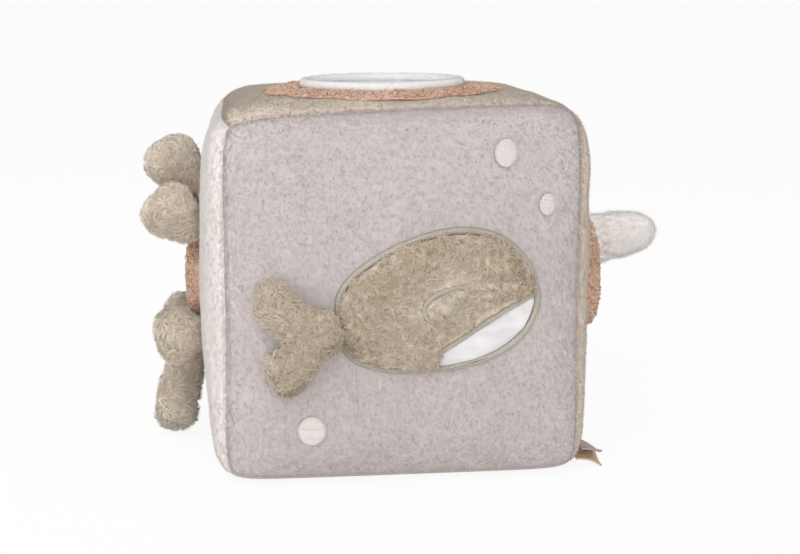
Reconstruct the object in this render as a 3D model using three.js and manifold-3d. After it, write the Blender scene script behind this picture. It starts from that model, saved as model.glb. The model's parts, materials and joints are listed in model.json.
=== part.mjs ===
// Soft fabric activity block for a baby. Six plush panels are sewn into a cube round a soft filling with a
// rattle in its middle. A fish is sewn on the front, a mirror on the top, and padded shapes with stuffed
// pieces that flap on their seams on the left and right. +X is right, +Y is back and +Z is up, and the
// origin is the middle of the flat base.

import * as THREE from "three";
import { mergeVertices } from "three/addons/utils/BufferGeometryUtils.js";
import Module from "manifold-3d";

const wasm = await Module();
wasm.setup();

// Driving dimensions in millimetres
const cubeEdgeLength = 140;
const sideCrown = 3.2;
const topCrown = 1.2;
const baseCrown = 1.5;
const baseFlat = 1;
const topRise = 0.4;
const seamDrift = 9.6;
const seamDepth = 0.9;
const baseSquashHeight = 8;
const plushThickness = 2.5;

// Clearances in millimetres
const seamGap = 0.3;
const sewnGap = 0.3;
const rootGap = 0.5;
const pocketClearance = 0.8;
const overrun = 10;

// Shape of the stuffed cube: a higher power makes a sharper corner, and the base is the sharpest
const cornerPower = 9.6;
const basePower = 13;
const seamPower = 16;
const baseSquashShare = 0.4;
const edgeCrowding = 1.2;
const panelCells = 12;
const fillingCells = 6;

const halfSide = cubeEdgeLength / 2;
const middleHeight = halfSide + baseCrown - baseFlat;
const topHeight = middleHeight + halfSide;
const seamReach = halfSide / 2 ** (1 / cornerPower);
const middle = new THREE.Vector3(0, 0, middleHeight);

const plush = { roughness: 0.95, metalness: 0 };
const finishes = {
  mauvePlush: { color: 0xc9bdbe, ...plush },
  creamPlush: { color: 0xe4dcd8, ...plush },
  taupePlush: { color: 0xb7ac9b, ...plush },
  taupeTeddy: { color: 0xb5a793, ...plush },
  peachBoucle: { color: 0xd9ad94, ...plush },
  whitePlush: { color: 0xf0ebe7, ...plush },
  sageStitch: { color: 0xa5a18f, roughness: 0.55, metalness: 0 },
  whiteSatin: { color: 0xe9e8e8, roughness: 0.45, metalness: 0 },
  whiteStitch: { color: 0xeeebe8, roughness: 0.6, metalness: 0 },
  mirrorFilm: { color: 0xb9c0c8, roughness: 0.08, metalness: 1 },
  mauveRibbon: { color: 0xb5a3a3, roughness: 0.6, metalness: 0 },
  tanRibbon: { color: 0xc2a27e, roughness: 0.6, metalness: 0 },
  filling: { color: 0xf4f3ef, roughness: 1, metalness: 0 },
  capsule: { color: 0xdfe3e6, roughness: 0.4, metalness: 0 },
  bead: { color: 0xc8ccd0, roughness: 0.35, metalness: 0 },
};

const block = new THREE.Group();
block.name = "soft_fabric_block";

// Each side of the cube has its outward direction and two directions across its panel
function side(out, across, up, crown) {
  return {
    out: new THREE.Vector3(...out),
    across: new THREE.Vector3(...across),
    up: new THREE.Vector3(...up),
    crown,
  };
}

const sides = {
  front: side([0, -1, 0], [1, 0, 0], [0, 0, 1], sideCrown),
  back: side([0, 1, 0], [-1, 0, 0], [0, 0, 1], sideCrown),
  left: side([-1, 0, 0], [0, -1, 0], [0, 0, 1], sideCrown),
  right: side([1, 0, 0], [0, 1, 0], [0, 0, 1], sideCrown),
  top: side([0, 0, 1], [1, 0, 0], [0, 1, 0], topCrown),
  bottom: side([0, 0, -1], [1, 0, 0], [0, -1, 0], baseCrown),
};

// The seam between the front and the top drifts: level with the edge on the left, further back on the right.
// The cloth slides over the edge, so the block keeps its shape there.
const edgeAngle = Math.PI / 4;
function drift(point) {
  const up = point.z - middleHeight;
  const angle = Math.atan2(up, -point.y);
  const nearness = Math.max(0, 1 - Math.abs(angle - edgeAngle) / edgeAngle);
  const slide = seamDrift * ((1 + point.x / halfSide) / 2) * Math.sin((nearness * Math.PI) / 2) ** 2;
  const turned = angle + slide / (seamReach * Math.SQRT2);
  const distance = Math.hypot(point.y, up);
  const [nearY, nearZ] = [-distance * Math.cos(turned), distance * Math.sin(turned)];
  const size = (y, z) => (Math.abs(y) ** cornerPower + Math.abs(z) ** cornerPower) ** (1 / cornerPower);
  const scale = nearness > 0 ? size(point.y, up) / size(nearY, nearZ) : 1;
  return point.set(point.x, nearY * scale, middleHeight + nearZ * scale);
}

// The filling has settled: the top leans down a little to the left, and the base's edge is pressed down
function settle(point) {
  drift(point);
  point.z += (topRise * point.x * point.z) / (halfSide * topHeight);
  point.z = Math.max(point.z, 0);
  point.z *= 1 - baseSquashShare * Math.exp(-point.z / baseSquashHeight);
  return point;
}

// The corner power grows towards the base, where steepness is -1
function powerAt(steepness) {
  return cornerPower + (basePower - cornerPower) * Math.max(0, -steepness) ** 2;
}

// A point of the stuffed cube, where u and v run from -1 to 1 between a panel's seams
function cubePoint(face, u, v, depth) {
  const power = powerAt(face.up.z * v + face.out.z);
  const length = (Math.abs(u) ** power + Math.abs(v) ** power + 1) ** (1 / power);
  const crown = face.crown * (1 - u * u) * (1 - v * v);
  const draw = seamDepth * Math.max(Math.abs(u), Math.abs(v)) ** seamPower;
  const reach = halfSide / length;
  const scale = ((halfSide - draw) * (halfSide - depth)) / halfSide ** 2;
  const point = middle.clone();
  point.addScaledVector(face.across, u * reach * scale);
  point.addScaledVector(face.up, v * reach * scale);
  point.addScaledVector(face.out, (reach + crown) * scale);
  return settle(point);
}

// A point at a height above a panel, found by its distances across and up the panel's face
function facePoint(face, across, up, height) {
  const power = powerAt((face.up.z * up) / halfSide + face.out.z);
  const acrossShare = Math.abs(across / halfSide) ** power;
  const upShare = Math.abs(up / halfSide) ** power;
  const reach = halfSide * (1 - acrossShare - upShare) ** (1 / power);
  const crown = face.crown * (1 - (across / reach) ** 2) * (1 - (up / reach) ** 2);
  const point = middle.clone();
  point.addScaledVector(face.across, across);
  point.addScaledVector(face.up, up);
  point.addScaledVector(face.out, reach + crown + height);
  return settle(point);
}

// Makes a closed body's geometry, turned so that its faces point outwards
function bodyFrom(points, triangles) {
  let volume = 0;
  for (const [a, b, c] of triangles) {
    volume += points[a].dot(points[b].clone().cross(points[c]));
  }
  const turned = volume < 0 ? triangles.map(([a, b, c]) => [a, c, b]) : triangles;
  const geometry = new THREE.BufferGeometry().setFromPoints(points);
  geometry.setIndex(turned.flat());
  geometry.computeVertexNormals();
  return geometry;
}

// Stretches a skin over rings of equal count: closed at two end points, or round a loop without them
function skin(rings, first, last) {
  const count = rings[0].length;
  const points = rings.flat();
  const triangles = [];
  const steps = first ? rings.length - 1 : rings.length;
  for (let ring = 0; ring < steps; ring += 1) {
    const here = ring * count;
    const there = ((ring + 1) % rings.length) * count;
    for (let i = 0; i < count; i += 1) {
      const next = (i + 1) % count;
      triangles.push([here + i, here + next, there + next]);
      triangles.push([here + i, there + next, there + i]);
    }
  }
  if (first) {
    const start = points.push(first) - 1;
    const end = points.push(last) - 1;
    const lastRing = (rings.length - 1) * count;
    for (let i = 0; i < count; i += 1) {
      const next = (i + 1) % count;
      triangles.push([start, next, i]);
      triangles.push([end, lastRing + i, lastRing + next]);
    }
  }
  return bodyFrom(points, triangles);
}

function average(points) {
  const sum = points.reduce((total, point) => total.add(point), new THREE.Vector3());
  return sum.divideScalar(points.length);
}

function range(count) {
  return Array.from({ length: count }, (_, i) => i);
}

function mesh(name, geometry, finish, parent = block) {
  const piece = new THREE.Mesh(geometry, new THREE.MeshStandardMaterial(finishes[finish]));
  piece.name = name;
  parent.add(piece);
  return piece;
}

// A group placed at the line of stitches that a flapping piece turns on
function hingeGroup(place) {
  const group = new THREE.Group();
  group.position.copy(place);
  block.add(group);
  return group;
}

function solid(geometry) {
  const bare = geometry.clone();
  bare.deleteAttribute("normal");
  bare.deleteAttribute("uv");
  const merged = mergeVertices(bare);
  const vertProperties = new Float32Array(merged.attributes.position.array);
  const triVerts = new Uint32Array(merged.index.array);
  return new wasm.Manifold(new wasm.Mesh({ numProp: 3, vertProperties, triVerts }));
}

function geometryOf(manifold) {
  const { vertProperties, triVerts } = manifold.getMesh();
  const geometry = new THREE.BufferGeometry();
  geometry.setAttribute("position", new THREE.BufferAttribute(new Float32Array(vertProperties), 3));
  geometry.setIndex(new THREE.BufferAttribute(new Uint32Array(triVerts), 1));
  geometry.computeVertexNormals();
  return geometry;
}

// Grid lines across a panel, closer together near the seams where it curves most
function gridLines(cells, limit) {
  return range(cells + 1).map((i) => {
    const even = (2 * i) / cells - 1;
    return (limit * Math.sin(edgeCrowding * even)) / Math.sin(edgeCrowding);
  });
}

// A panel is a curved sheet: an outer grid, an inner grid and a wall round its seam
function panelGeometry(face) {
  const limit = 1 - seamGap / (Math.SQRT2 * seamReach);
  const lines = gridLines(panelCells, limit);
  const size = lines.length;
  const points = [];
  for (const depth of [0, plushThickness]) {
    for (const v of lines) {
      for (const u of lines) {
        points.push(cubePoint(face, u, v, depth));
      }
    }
  }
  const inner = size * size;
  const triangles = [];
  for (let row = 0; row < panelCells; row += 1) {
    for (let column = 0; column < panelCells; column += 1) {
      const a = row * size + column;
      const b = a + 1;
      const c = b + size;
      const d = a + size;
      triangles.push([a, b, c], [a, c, d]);
      triangles.push([inner + a, inner + c, inner + b], [inner + a, inner + d, inner + c]);
    }
  }
  const edge = [
    ...range(panelCells).map((i) => i),
    ...range(panelCells).map((i) => i * size + panelCells),
    ...range(panelCells).map((i) => inner - 1 - i),
    ...range(panelCells).map((i) => (panelCells - i) * size),
  ];
  edge.forEach((here, i) => {
    const next = edge[(i + 1) % edge.length];
    triangles.push([here, inner + here, inner + next], [here, inner + next, next]);
  });
  return bodyFrom(points, triangles);
}

// The six panels: mauve on the front and base, cream on the left and back, taupe on the right and top
const panelFinishes = {
  front: "mauvePlush",
  back: "creamPlush",
  left: "creamPlush",
  right: "taupePlush",
  top: "taupePlush",
  bottom: "mauvePlush",
};
for (const [name, finish] of Object.entries(panelFinishes)) {
  mesh(`${name}_panel`, panelGeometry(sides[name]), finish);
}

// The rattle: a two-part capsule in the middle of the filling, with loose beads
const capsuleRadius = 16;
const capsuleWall = 1.5;
const beadRadius = 3;
const beadSeatGap = 0.5;
const beadCount = 3;
const capsuleSpokes = 20;
const capsuleSteps = 5;

// The filling is packed in two wads, in front of the capsule and behind it
function fillingGeometry(direction) {
  const depth = plushThickness + sewnGap;
  const lines = gridLines(fillingCells, 1);
  const corners = [];
  for (const face of Object.values(sides)) {
    for (let row = 0; row < fillingCells; row += 1) {
      for (let column = 0; column < fillingCells; column += 1) {
        const [left, right] = [lines[column], lines[column + 1]];
        const [low, high] = [lines[row], lines[row + 1]];
        const a = cubePoint(face, left, low, depth);
        const b = cubePoint(face, right, low, depth);
        const c = cubePoint(face, right, high, depth);
        const d = cubePoint(face, left, high, depth);
        corners.push(a, b, c, a, c, d);
      }
    }
  }
  const whole = solid(new THREE.BufferGeometry().setFromPoints(corners));
  const pocket = new THREE.SphereGeometry(capsuleRadius + pocketClearance, capsuleSpokes, capsuleSpokes / 2);
  pocket.translate(middle.x, middle.y, middle.z);
  const room = cubeEdgeLength + 2 * overrun;
  const half = new THREE.BoxGeometry(room, room, room);
  half.translate(0, direction * (room / 2 + sewnGap / 2), middleHeight);
  return geometryOf(whole.subtract(solid(pocket)).intersect(solid(half)));
}

mesh("filling_front", fillingGeometry(-1), "filling");
mesh("filling_back", fillingGeometry(1), "filling");

function arc(radius, from, to) {
  return range(capsuleSteps + 1).map((i) => {
    const angle = from + ((to - from) * i) / capsuleSteps;
    return new THREE.Vector2(radius * Math.cos(angle), radius * Math.sin(angle));
  });
}

// One half of the capsule is a cup turned about the upright axis, and its rim is cut back by half the gap
function capsuleGeometry(direction) {
  const innerRadius = capsuleRadius - capsuleWall;
  const rim = (radius) => Math.asin(sewnGap / 2 / radius);
  const outer = arc(capsuleRadius, Math.PI / 2, rim(capsuleRadius));
  const inner = arc(innerRadius, rim(innerRadius), Math.PI / 2);
  const profile = [...outer, ...inner];
  profile[0].x = 0;
  profile[profile.length - 1].x = 0;
  const geometry = new THREE.LatheGeometry(profile, capsuleSpokes);
  geometry.rotateX((direction * Math.PI) / 2);
  const merged = bareMerged(geometry);
  merged.translate(middle.x, middle.y, middle.z);
  return merged;
}

// Joins the first and last spokes of a turned shape, and drops the empty triangles on its axis
function bareMerged(geometry) {
  geometry.deleteAttribute("normal");
  geometry.deleteAttribute("uv");
  const merged = mergeVertices(geometry);
  const points = range(merged.attributes.position.count).map((i) =>
    new THREE.Vector3().fromBufferAttribute(merged.attributes.position, i));
  const index = merged.index.array;
  const triangles = range(index.length / 3)
    .map((i) => [index[3 * i], index[3 * i + 1], index[3 * i + 2]])
    .filter(([a, b, c]) => a !== b && b !== c && c !== a);
  return bodyFrom(points, triangles);
}

mesh("rattle_capsule_upper", capsuleGeometry(1), "capsule");
mesh("rattle_capsule_lower", capsuleGeometry(-1), "capsule");

// The beads lie side by side in the bottom of the capsule
const beadRing = (2 * beadRadius + sewnGap) / (2 * Math.sin(Math.PI / beadCount));
const beadReach = capsuleRadius - capsuleWall - beadRadius - beadSeatGap;
const beadDrop = Math.sqrt(beadReach ** 2 - beadRing ** 2);
for (const i of range(beadCount)) {
  const angle = (2 * Math.PI * i) / beadCount;
  const bead = mesh(`rattle_bead_${i + 1}`, new THREE.IcosahedronGeometry(beadRadius, 1), "bead");
  bead.position.set(beadRing * Math.cos(angle), beadRing * Math.sin(angle), middleHeight - beadDrop);
}

// A padded piece sewn flat on a panel round a middle point; edgeAt gives its edge at each angle
function paddedRound({ face, at, edgeAt, spokes, ringShares, edge, puff, puffPower, base = sewnGap }) {
  const ringAt = (share, height) => range(spokes).map((i) => {
    const angle = (2 * Math.PI * i) / spokes;
    const [across, up] = edgeAt(angle);
    return facePoint(face, at[0] + share * across, at[1] + share * up, height);
  });
  const topHeightAt = (share) => base + edge + puff * (1 - share ** puffPower);
  const below = ringShares.map((share) => ringAt(share, base));
  const above = ringShares.map((share) => ringAt(share, topHeightAt(share))).reverse();
  const first = facePoint(face, at[0], at[1], base);
  const last = facePoint(face, at[0], at[1], topHeightAt(0));
  return skin([...below, ...above], first, last);
}

// A padded piece sewn on a panel between a low and a high edge, with one pair of edge points a station
const stripLines = 5;
const domePower = 4;
function paddedStrip({ face, lowEdge, highEdge, edge, puff, base = sewnGap }) {
  const stations = lowEdge.length;
  const rings = lowEdge.map((low, i) => {
    const high = highEdge[i];
    const along = (2 * i) / (stations - 1) - 1;
    const pointAt = (share, raised) => {
      const across = low[0] + (high[0] - low[0]) * share;
      const up = low[1] + (high[1] - low[1]) * share;
      const crossways = 2 * share - 1;
      const dome = Math.sqrt(Math.max(0, (1 - along ** domePower) * (1 - crossways ** domePower)));
      return facePoint(face, across, up, raised ? base + edge + puff * dome : base);
    };
    const shares = range(stripLines).map((line) => line / (stripLines - 1));
    const under = shares.map((share) => pointAt(share, false));
    const over = shares.map((share) => pointAt(share, true)).reverse();
    return [...under, ...over];
  });
  return skin(rings, average(rings[0]), average(rings[rings.length - 1]));
}

// A raised band of stitches or piping along an outline on a panel: a closed loop, or an open line
const archShares = [[-1, 0], [-0.75, 0.7], [0, 1], [0.75, 0.7], [1, 0]];
function band({ face, outline, width, thickness, base = sewnGap, closed = true, section = archShares }) {
  const count = outline.length;
  const rings = outline.map((here, i) => {
    const before = outline[closed ? (i + count - 1) % count : Math.max(i - 1, 0)];
    const after = outline[closed ? (i + 1) % count : Math.min(i + 1, count - 1)];
    const run = Math.hypot(after[0] - before[0], after[1] - before[1]);
    const normal = [(before[1] - after[1]) / run, (after[0] - before[0]) / run];
    return section.map(([offset, rise]) => {
      const reach = (offset * width) / 2;
      const across = here[0] + normal[0] * reach;
      const up = here[1] + normal[1] * reach;
      return facePoint(face, across, up, base + rise * thickness);
    });
  });
  return closed ? skin(rings) : skin(rings, average(rings[0]), average(rings[count - 1]));
}

// The fish: a teddy body and a satin belly in a satin-stitched outline, a side fin and a stuffed tail
const fishHalfLength = 36;
const fishBackHeight = 25;
const fishBellyHeight = 21;
const fishTailRootHeight = 6;
const fishLead = 12;
const fishDrop = 3;
const fishLean = THREE.MathUtils.degToRad(9);
const stitchWidth = 2.3;
const stitchThickness = 1;
const teddyEdge = 1.2;
const teddyPuff = 2.2;
const satinEdge = 0.4;
const satinPuff = 0.9;
const fishSteps = 18;
const bodySteps = 14;
const bellySteps = 8;
const bellySeamSteps = 10;
const tailRootPower = 3;
const fullnessShare = 0.16;
const bellyEndAngle = 2;
const bodyStartAngle = 0.34;
const bellyLineShares = { nose: 0.08, end: 1 };

// Turns lengths along and up the fish into places on the front panel
function fishPlace([along, up]) {
  const across = along * Math.cos(fishLean) - up * Math.sin(fishLean);
  const rise = along * Math.sin(fishLean) + up * Math.cos(fishLean);
  return [fishLead + across, rise - fishDrop];
}

function fishEdge(angle, height) {
  const fullness = 1 + fullnessShare * Math.cos(angle);
  const rootShare = ((1 - Math.cos(angle)) / 2) ** tailRootPower;
  return height * Math.sin(angle) * fullness + Math.sign(height) * fishTailRootHeight * rootShare;
}

const fishUpper = (angle) => fishEdge(angle, fishBackHeight);
const fishLower = (angle) => fishEdge(angle, -fishBellyHeight);

// The line between body and belly leaves the nose and meets the lower edge behind the belly
function bellyLine(angle) {
  const share = Math.min(angle / bellyEndAngle, 1);
  const { nose, end } = bellyLineShares;
  return fishLower(angle) * (nose + (end - nose) * share ** 2);
}

function angles(from, to, count) {
  return range(count + 1).map((i) => from + ((to - from) * i) / count);
}

const fishOutline = [
  ...angles(0, Math.PI, fishSteps).map((angle) => [fishHalfLength * Math.cos(angle), fishUpper(angle)]),
  ...angles(Math.PI, 0, fishSteps).slice(0, -1)
    .map((angle) => [fishHalfLength * Math.cos(angle), fishLower(angle)]),
].map(fishPlace);
const stitchInset = stitchWidth / 2 + sewnGap;
const insetLength = fishHalfLength - stitchInset;
const bodyAngles = angles(bodyStartAngle, Math.PI, bodySteps);
const bodyHigh = bodyAngles.map((angle) => [insetLength * Math.cos(angle), fishUpper(angle) - stitchInset]);
const bodyLow = bodyAngles.map((angle) => [insetLength * Math.cos(angle), bellyLine(angle) + stitchInset]);
mesh("fish_outline", band({
  face: sides.front, outline: fishOutline, width: stitchWidth, thickness: stitchThickness,
}), "sageStitch");
mesh("fish_body", paddedStrip({
  face: sides.front,
  lowEdge: bodyLow.map(fishPlace),
  highEdge: bodyHigh.map(fishPlace),
  edge: teddyEdge,
  puff: teddyPuff,
}), "taupeTeddy");

const bellyStartAngle = 0.42;
const bellyStopAngle = 1.66;
const bellyAngles = angles(bellyStartAngle, bellyStopAngle, bellySteps);
const alongAt = (angle) => insetLength * Math.cos(angle);
mesh("fish_belly", paddedStrip({
  face: sides.front,
  lowEdge: bellyAngles.map((angle) => fishPlace([alongAt(angle), fishLower(angle) + stitchInset])),
  highEdge: bellyAngles.map((angle) => fishPlace([alongAt(angle), bellyLine(angle) - stitchInset])),
  edge: satinEdge,
  puff: satinPuff,
}), "whiteSatin");
const bellySeamAngles = angles(bodyStartAngle, bellyStopAngle, bellySeamSteps);
mesh("fish_belly_seam", band({
  face: sides.front,
  outline: bellySeamAngles.map((angle) => fishPlace([alongAt(angle), bellyLine(angle)])),
  width: stitchWidth,
  thickness: stitchThickness,
  closed: false,
}), "sageStitch");

// The tail is stuffed, notched into two lobes, and sewn on only at its narrow root
const tailLength = 26;
const tailSpread = 41;
const tailRootWidth = 10;
const tailNotch = 7;
const tailFrontPuff = 6;
const tailBackPuff = 1.6;
const tailLift = 2.7;
const tailRootReach = 1.4;
const tailSpokes = 28;
const tailCurveTension = 0.5;
const tailHeartShare = 0.5;
const tailValleyShare = 0.45;
const tailValleyWidthShare = 0.17;
const tailSeamShare = 0.25;
const tailRings = [0.35, 0.65, 0.86, 1];
const tailOutlineShares = [
  [0, -1, "root"], [0.3, -0.44, "lobe"], [0.56, -0.87, "lobe"], [0.84, -1, "lobe"], [1, -0.74, "lobe"],
  [0.99, -0.38, "lobe"], [1, 0, "notch"], [0.99, 0.38, "lobe"],
  [1, 0.74, "lobe"], [0.84, 1, "lobe"], [0.56, 0.87, "lobe"], [0.3, 0.44, "lobe"], [0, 1, "root"],
];

// Lengths back from the root and up from the middle of each point on the tail's edge
const tailPoints = tailOutlineShares.map(([back, up, part]) => {
  const length = part === "notch" ? tailLength - tailNotch : tailLength;
  const width = part === "root" ? tailRootWidth : tailSpread;
  return new THREE.Vector3(back * length, (up * width) / 2, 0);
});
const tailCurve = new THREE.CatmullRomCurve3(tailPoints, true, "catmullrom", tailCurveTension);
const tailEdge = tailCurve.getSpacedPoints(tailSpokes).slice(0, -1);
const tailHeart = new THREE.Vector3(tailLength * tailHeartShare, 0, 0);
const tailRootAlong = -fishHalfLength - stitchWidth / 2 - rootGap - tailRootReach;

function tailPoint(share, edgePoint, puff, lift) {
  const place = tailHeart.clone().lerp(edgePoint, share);
  const offMiddle = place.y / (tailSpread * tailValleyWidthShare);
  const valley = 1 - tailValleyShare * Math.exp(-(offMiddle ** 2)) * (place.x / tailLength);
  const height = tailLift + lift + puff * valley * Math.sqrt(1 - share ** domePower);
  const [across, up] = fishPlace([tailRootAlong - place.x + tailRootReach, place.y]);
  return facePoint(sides.front, across, up, height);
}

const tailHinge = facePoint(sides.front, ...fishPlace([tailRootAlong, 0]), tailLift);
const tailGroup = hingeGroup(tailHinge);
const tailHalves = { front: [tailFrontPuff, sewnGap / 2], back: [-tailBackPuff, -sewnGap / 2] };
for (const [half, [puff, lift]] of Object.entries(tailHalves)) {
  const rings = tailRings.map((share) => tailEdge.map((point) => tailPoint(share, point, puff, lift)));
  const rimLift = lift + Math.sign(lift) * plushThickness * tailSeamShare;
  const rim = tailEdge.map((point) => tailPoint(1, point, 0, rimLift));
  const seam = tailEdge.map((point) => tailPoint(1, point, 0, lift));
  const flat = tailRings.slice(0, -1).reverse()
    .map((share) => tailEdge.map((point) => tailPoint(share, point, 0, lift)));
  const dome = rings.slice(0, -1);
  const first = tailPoint(0, tailHeart, puff, lift);
  const last = tailPoint(0, tailHeart, 0, lift);
  const geometry = skin([...dome, rim, seam, ...flat], first, last);
  geometry.translate(-tailHinge.x, -tailHinge.y, -tailHinge.z);
  mesh(`fish_tail_${half}`, geometry, "taupeTeddy", tailGroup);
}

// The fish's eye and the white bubbles are embroidered dots; the side fin is a small teddy pad
function round(diameter) {
  return (angle) => [(diameter / 2) * Math.cos(angle), (diameter / 2) * Math.sin(angle)];
}

const dotRings = [0.6, 1];
const dotSpokes = 16;
const dotEdge = 0.6;
const dotPuff = 0.6;
const dotPuffPower = 2;
const bubbles = [
  { acrossShare: 0.51, upShare: 0.66, diameter: 8.3 },
  { acrossShare: 0.73, upShare: 0.43, diameter: 6.2 },
  { acrossShare: -0.49, upShare: -0.67, diameter: 10.4 },
];
bubbles.forEach(({ acrossShare, upShare, diameter }, i) => {
  mesh(`bubble_${i + 1}`, paddedRound({
    face: sides.front, at: [acrossShare * halfSide, upShare * halfSide], edgeAt: round(diameter),
    spokes: dotSpokes, ringShares: dotRings, edge: dotEdge, puff: dotPuff, puffPower: dotPuffPower,
  }), "whiteStitch");
});

// The eye and the fin lie on the teddy body, above its fullest height
const eyeDiameter = 3.6;
const eyeAlongShare = 0.67;
const eyeUpShare = 0.2;
const eyePlace = [fishHalfLength * eyeAlongShare, fishBackHeight * eyeUpShare];
const teddyTop = sewnGap + teddyEdge + teddyPuff + sewnGap;
mesh("fish_eye", paddedRound({
  face: sides.front, at: fishPlace(eyePlace), edgeAt: round(eyeDiameter), spokes: dotSpokes,
  ringShares: dotRings, edge: dotEdge, puff: dotPuff, puffPower: dotPuffPower, base: teddyTop,
}), "sageStitch");

const finLength = 17;
const finWidth = 10;
const finAlongShare = 0.055;
const finUpShare = 0.12;
const finPlace = [fishHalfLength * finAlongShare, fishBackHeight * finUpShare];
const finLean = THREE.MathUtils.degToRad(35);
const finSpokes = 24;
const finTaperShare = 0.45;
const finRootShare = 0.83;
const finPuffShare = 0.5;
const finPuffPower = 4;
function finEdge(inset) {
  return (angle) => {
    const along = (finLength / 2 - inset) * Math.cos(angle);
    const taperShare = (1 - finTaperShare * Math.cos(angle)) * finRootShare;
    const up = (finWidth / 2) * Math.sin(angle) * taperShare - inset * Math.sin(angle);
    const across = along * Math.cos(finLean) - up * Math.sin(finLean);
    return [across, along * Math.sin(finLean) + up * Math.cos(finLean)];
  };
}

const [finAcross, finUp] = fishPlace(finPlace);
mesh("fish_fin", paddedRound({
  face: sides.front, at: [finAcross, finUp], edgeAt: finEdge(stitchInset), spokes: finSpokes,
  ringShares: dotRings, edge: teddyEdge, puff: teddyPuff * finPuffShare, puffPower: finPuffPower,
  base: teddyTop,
}), "taupeTeddy");
mesh("fish_fin_outline", band({
  face: sides.front,
  outline: range(finSpokes).map((i) => {
    const [across, up] = finEdge(0)((2 * Math.PI * i) / finSpokes);
    return [finAcross + across, finUp + up];
  }),
  width: stitchWidth,
  thickness: stitchThickness,
  base: teddyTop,
}), "sageStitch");

// The mirror on the top: a scalloped peach pad, a disc of mirror film and a piped rim
const topPadRadius = 43.6;
const topPadLead = -2.5;
const topPadDrop = 12.9;
const scallopDepth = 3;
const scallopCount = 12;
const scallopSteps = 4;
const topPadEdge = 0.8;
const topPadPuff = 0.8;
const rimTube = 3.4;
const rimRadius = 30.4;
const filmThickness = 0.8;
const padRings = [0.3, 0.6, 0.84, 1];
const sidePadRings = [0.6, 0.84, 1];
const filmRings = [0.5, 1];
const topPadPuffPower = 6;
const sidePadPuffPower = 4;
const rimSpokes = 32;
const tubeSpokes = 8;

function scalloped(radius, depth, count) {
  return (angle) => {
    const reach = radius - depth * (1 - Math.abs(Math.sin((count * angle) / 2)));
    return [reach * Math.cos(angle), reach * Math.sin(angle)];
  };
}

const topPlace = [topPadLead, -topPadDrop];
mesh("top_pad", paddedRound({
  face: sides.top, at: topPlace, edgeAt: scalloped(topPadRadius, scallopDepth, scallopCount),
  spokes: scallopCount * scallopSteps, ringShares: padRings, edge: topPadEdge, puff: topPadPuff,
  puffPower: topPadPuffPower,
}), "peachBoucle");
const onTopPad = sewnGap + topPadEdge + topPadPuff + sewnGap;
mesh("mirror_film", paddedRound({
  face: sides.top, at: topPlace, edgeAt: round(2 * rimRadius - rimTube - 2 * sewnGap), spokes: rimSpokes,
  ringShares: filmRings, edge: filmThickness, puff: 0, puffPower: 1, base: onTopPad,
}), "mirrorFilm");

const tubeShares = range(tubeSpokes).map((i) => {
  const angle = (2 * Math.PI * i) / tubeSpokes;
  return [Math.cos(angle), (1 - Math.sin(angle)) / 2];
});
mesh("mirror_rim", band({
  face: sides.top,
  outline: range(rimSpokes).map((i) => {
    const angle = (2 * Math.PI * i) / rimSpokes;
    return [topPadLead + rimRadius * Math.cos(angle), rimRadius * Math.sin(angle) - topPadDrop];
  }),
  width: rimTube,
  thickness: rimTube,
  base: onTopPad,
  section: tubeShares,
}), "whitePlush");

// Round peach pads on the left and right sides
const sidePadEdge = 2;
const sidePadSpokes = 24;
const sidePads = {
  left: { diameter: 34, across: 0, drop: 4.5, puff: 2.8 },
  right: { diameter: 42, across: -18, drop: 3, puff: 5.4 },
};
for (const [name, { diameter, across, drop, puff }] of Object.entries(sidePads)) {
  mesh(`${name}_pad`, paddedRound({
    face: sides[name], at: [across, -drop], edgeAt: round(diameter), spokes: sidePadSpokes,
    ringShares: sidePadRings, edge: sidePadEdge, puff, puffPower: sidePadPuffPower,
  }), "peachBoucle");
}

// A stuffed piece is rounded at its root, swells and ends in a round tip. It flaps about the middle of its
// round root, so the root stays clear of the panel. Beyond the root each station is a share of the way to
// the tip, with the share of its full width and thickness there.
const rootWidthShare = 0.8;
const rootThicknessShare = 0.7;
const rootAngles = [14, 38, 64, 90].map(THREE.MathUtils.degToRad);
const tipStationShares = [[0.25, 0.94], [0.52, 1], [0.77, 0.95], [0.925, 0.72], [0.985, 0.38]];
const stuffedArc = 7;
const stuffedSeamGap = 0.5;
const lineSteps = 40;

// The radius of the round root, which is also the distance from its end to the line that it flaps on
function rootRadius({ thickness }) {
  return (rootThicknessShare * thickness) / 2;
}

// Each station as a length from the root's end, a half width and a half thickness
function stuffedStations({ length, width, thickness }) {
  const radius = rootRadius({ thickness });
  const root = rootAngles.map((angle) => ({
    at: radius * (1 - Math.cos(angle)),
    halfWidth: (width / 2) * rootWidthShare * Math.sin(angle),
    halfThickness: radius * Math.sin(angle),
  }));
  const rest = tipStationShares.map(([way, fullness]) => ({
    at: radius + (length - radius) * way,
    halfWidth: (width / 2) * fullness,
    halfThickness: (thickness / 2) * fullness,
  }));
  return [...root, ...rest];
}

// The middle line of a stuffed piece leaves its root at one lean and reaches its tip at another
function middleLine(length, rootLean, tipLean) {
  const leanAt = (at) => THREE.MathUtils.degToRad(rootLean + ((tipLean - rootLean) * at) / length);
  return (at) => {
    const place = new THREE.Vector2();
    for (const i of range(lineSteps)) {
      const lean = leanAt(((i + 0.5) * at) / lineSteps);
      place.x += (Math.cos(lean) * at) / lineSteps;
      place.y += (Math.sin(lean) * at) / lineSteps;
    }
    return { out: place.x, rise: place.y, lean: leanAt(at) };
  };
}

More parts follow.
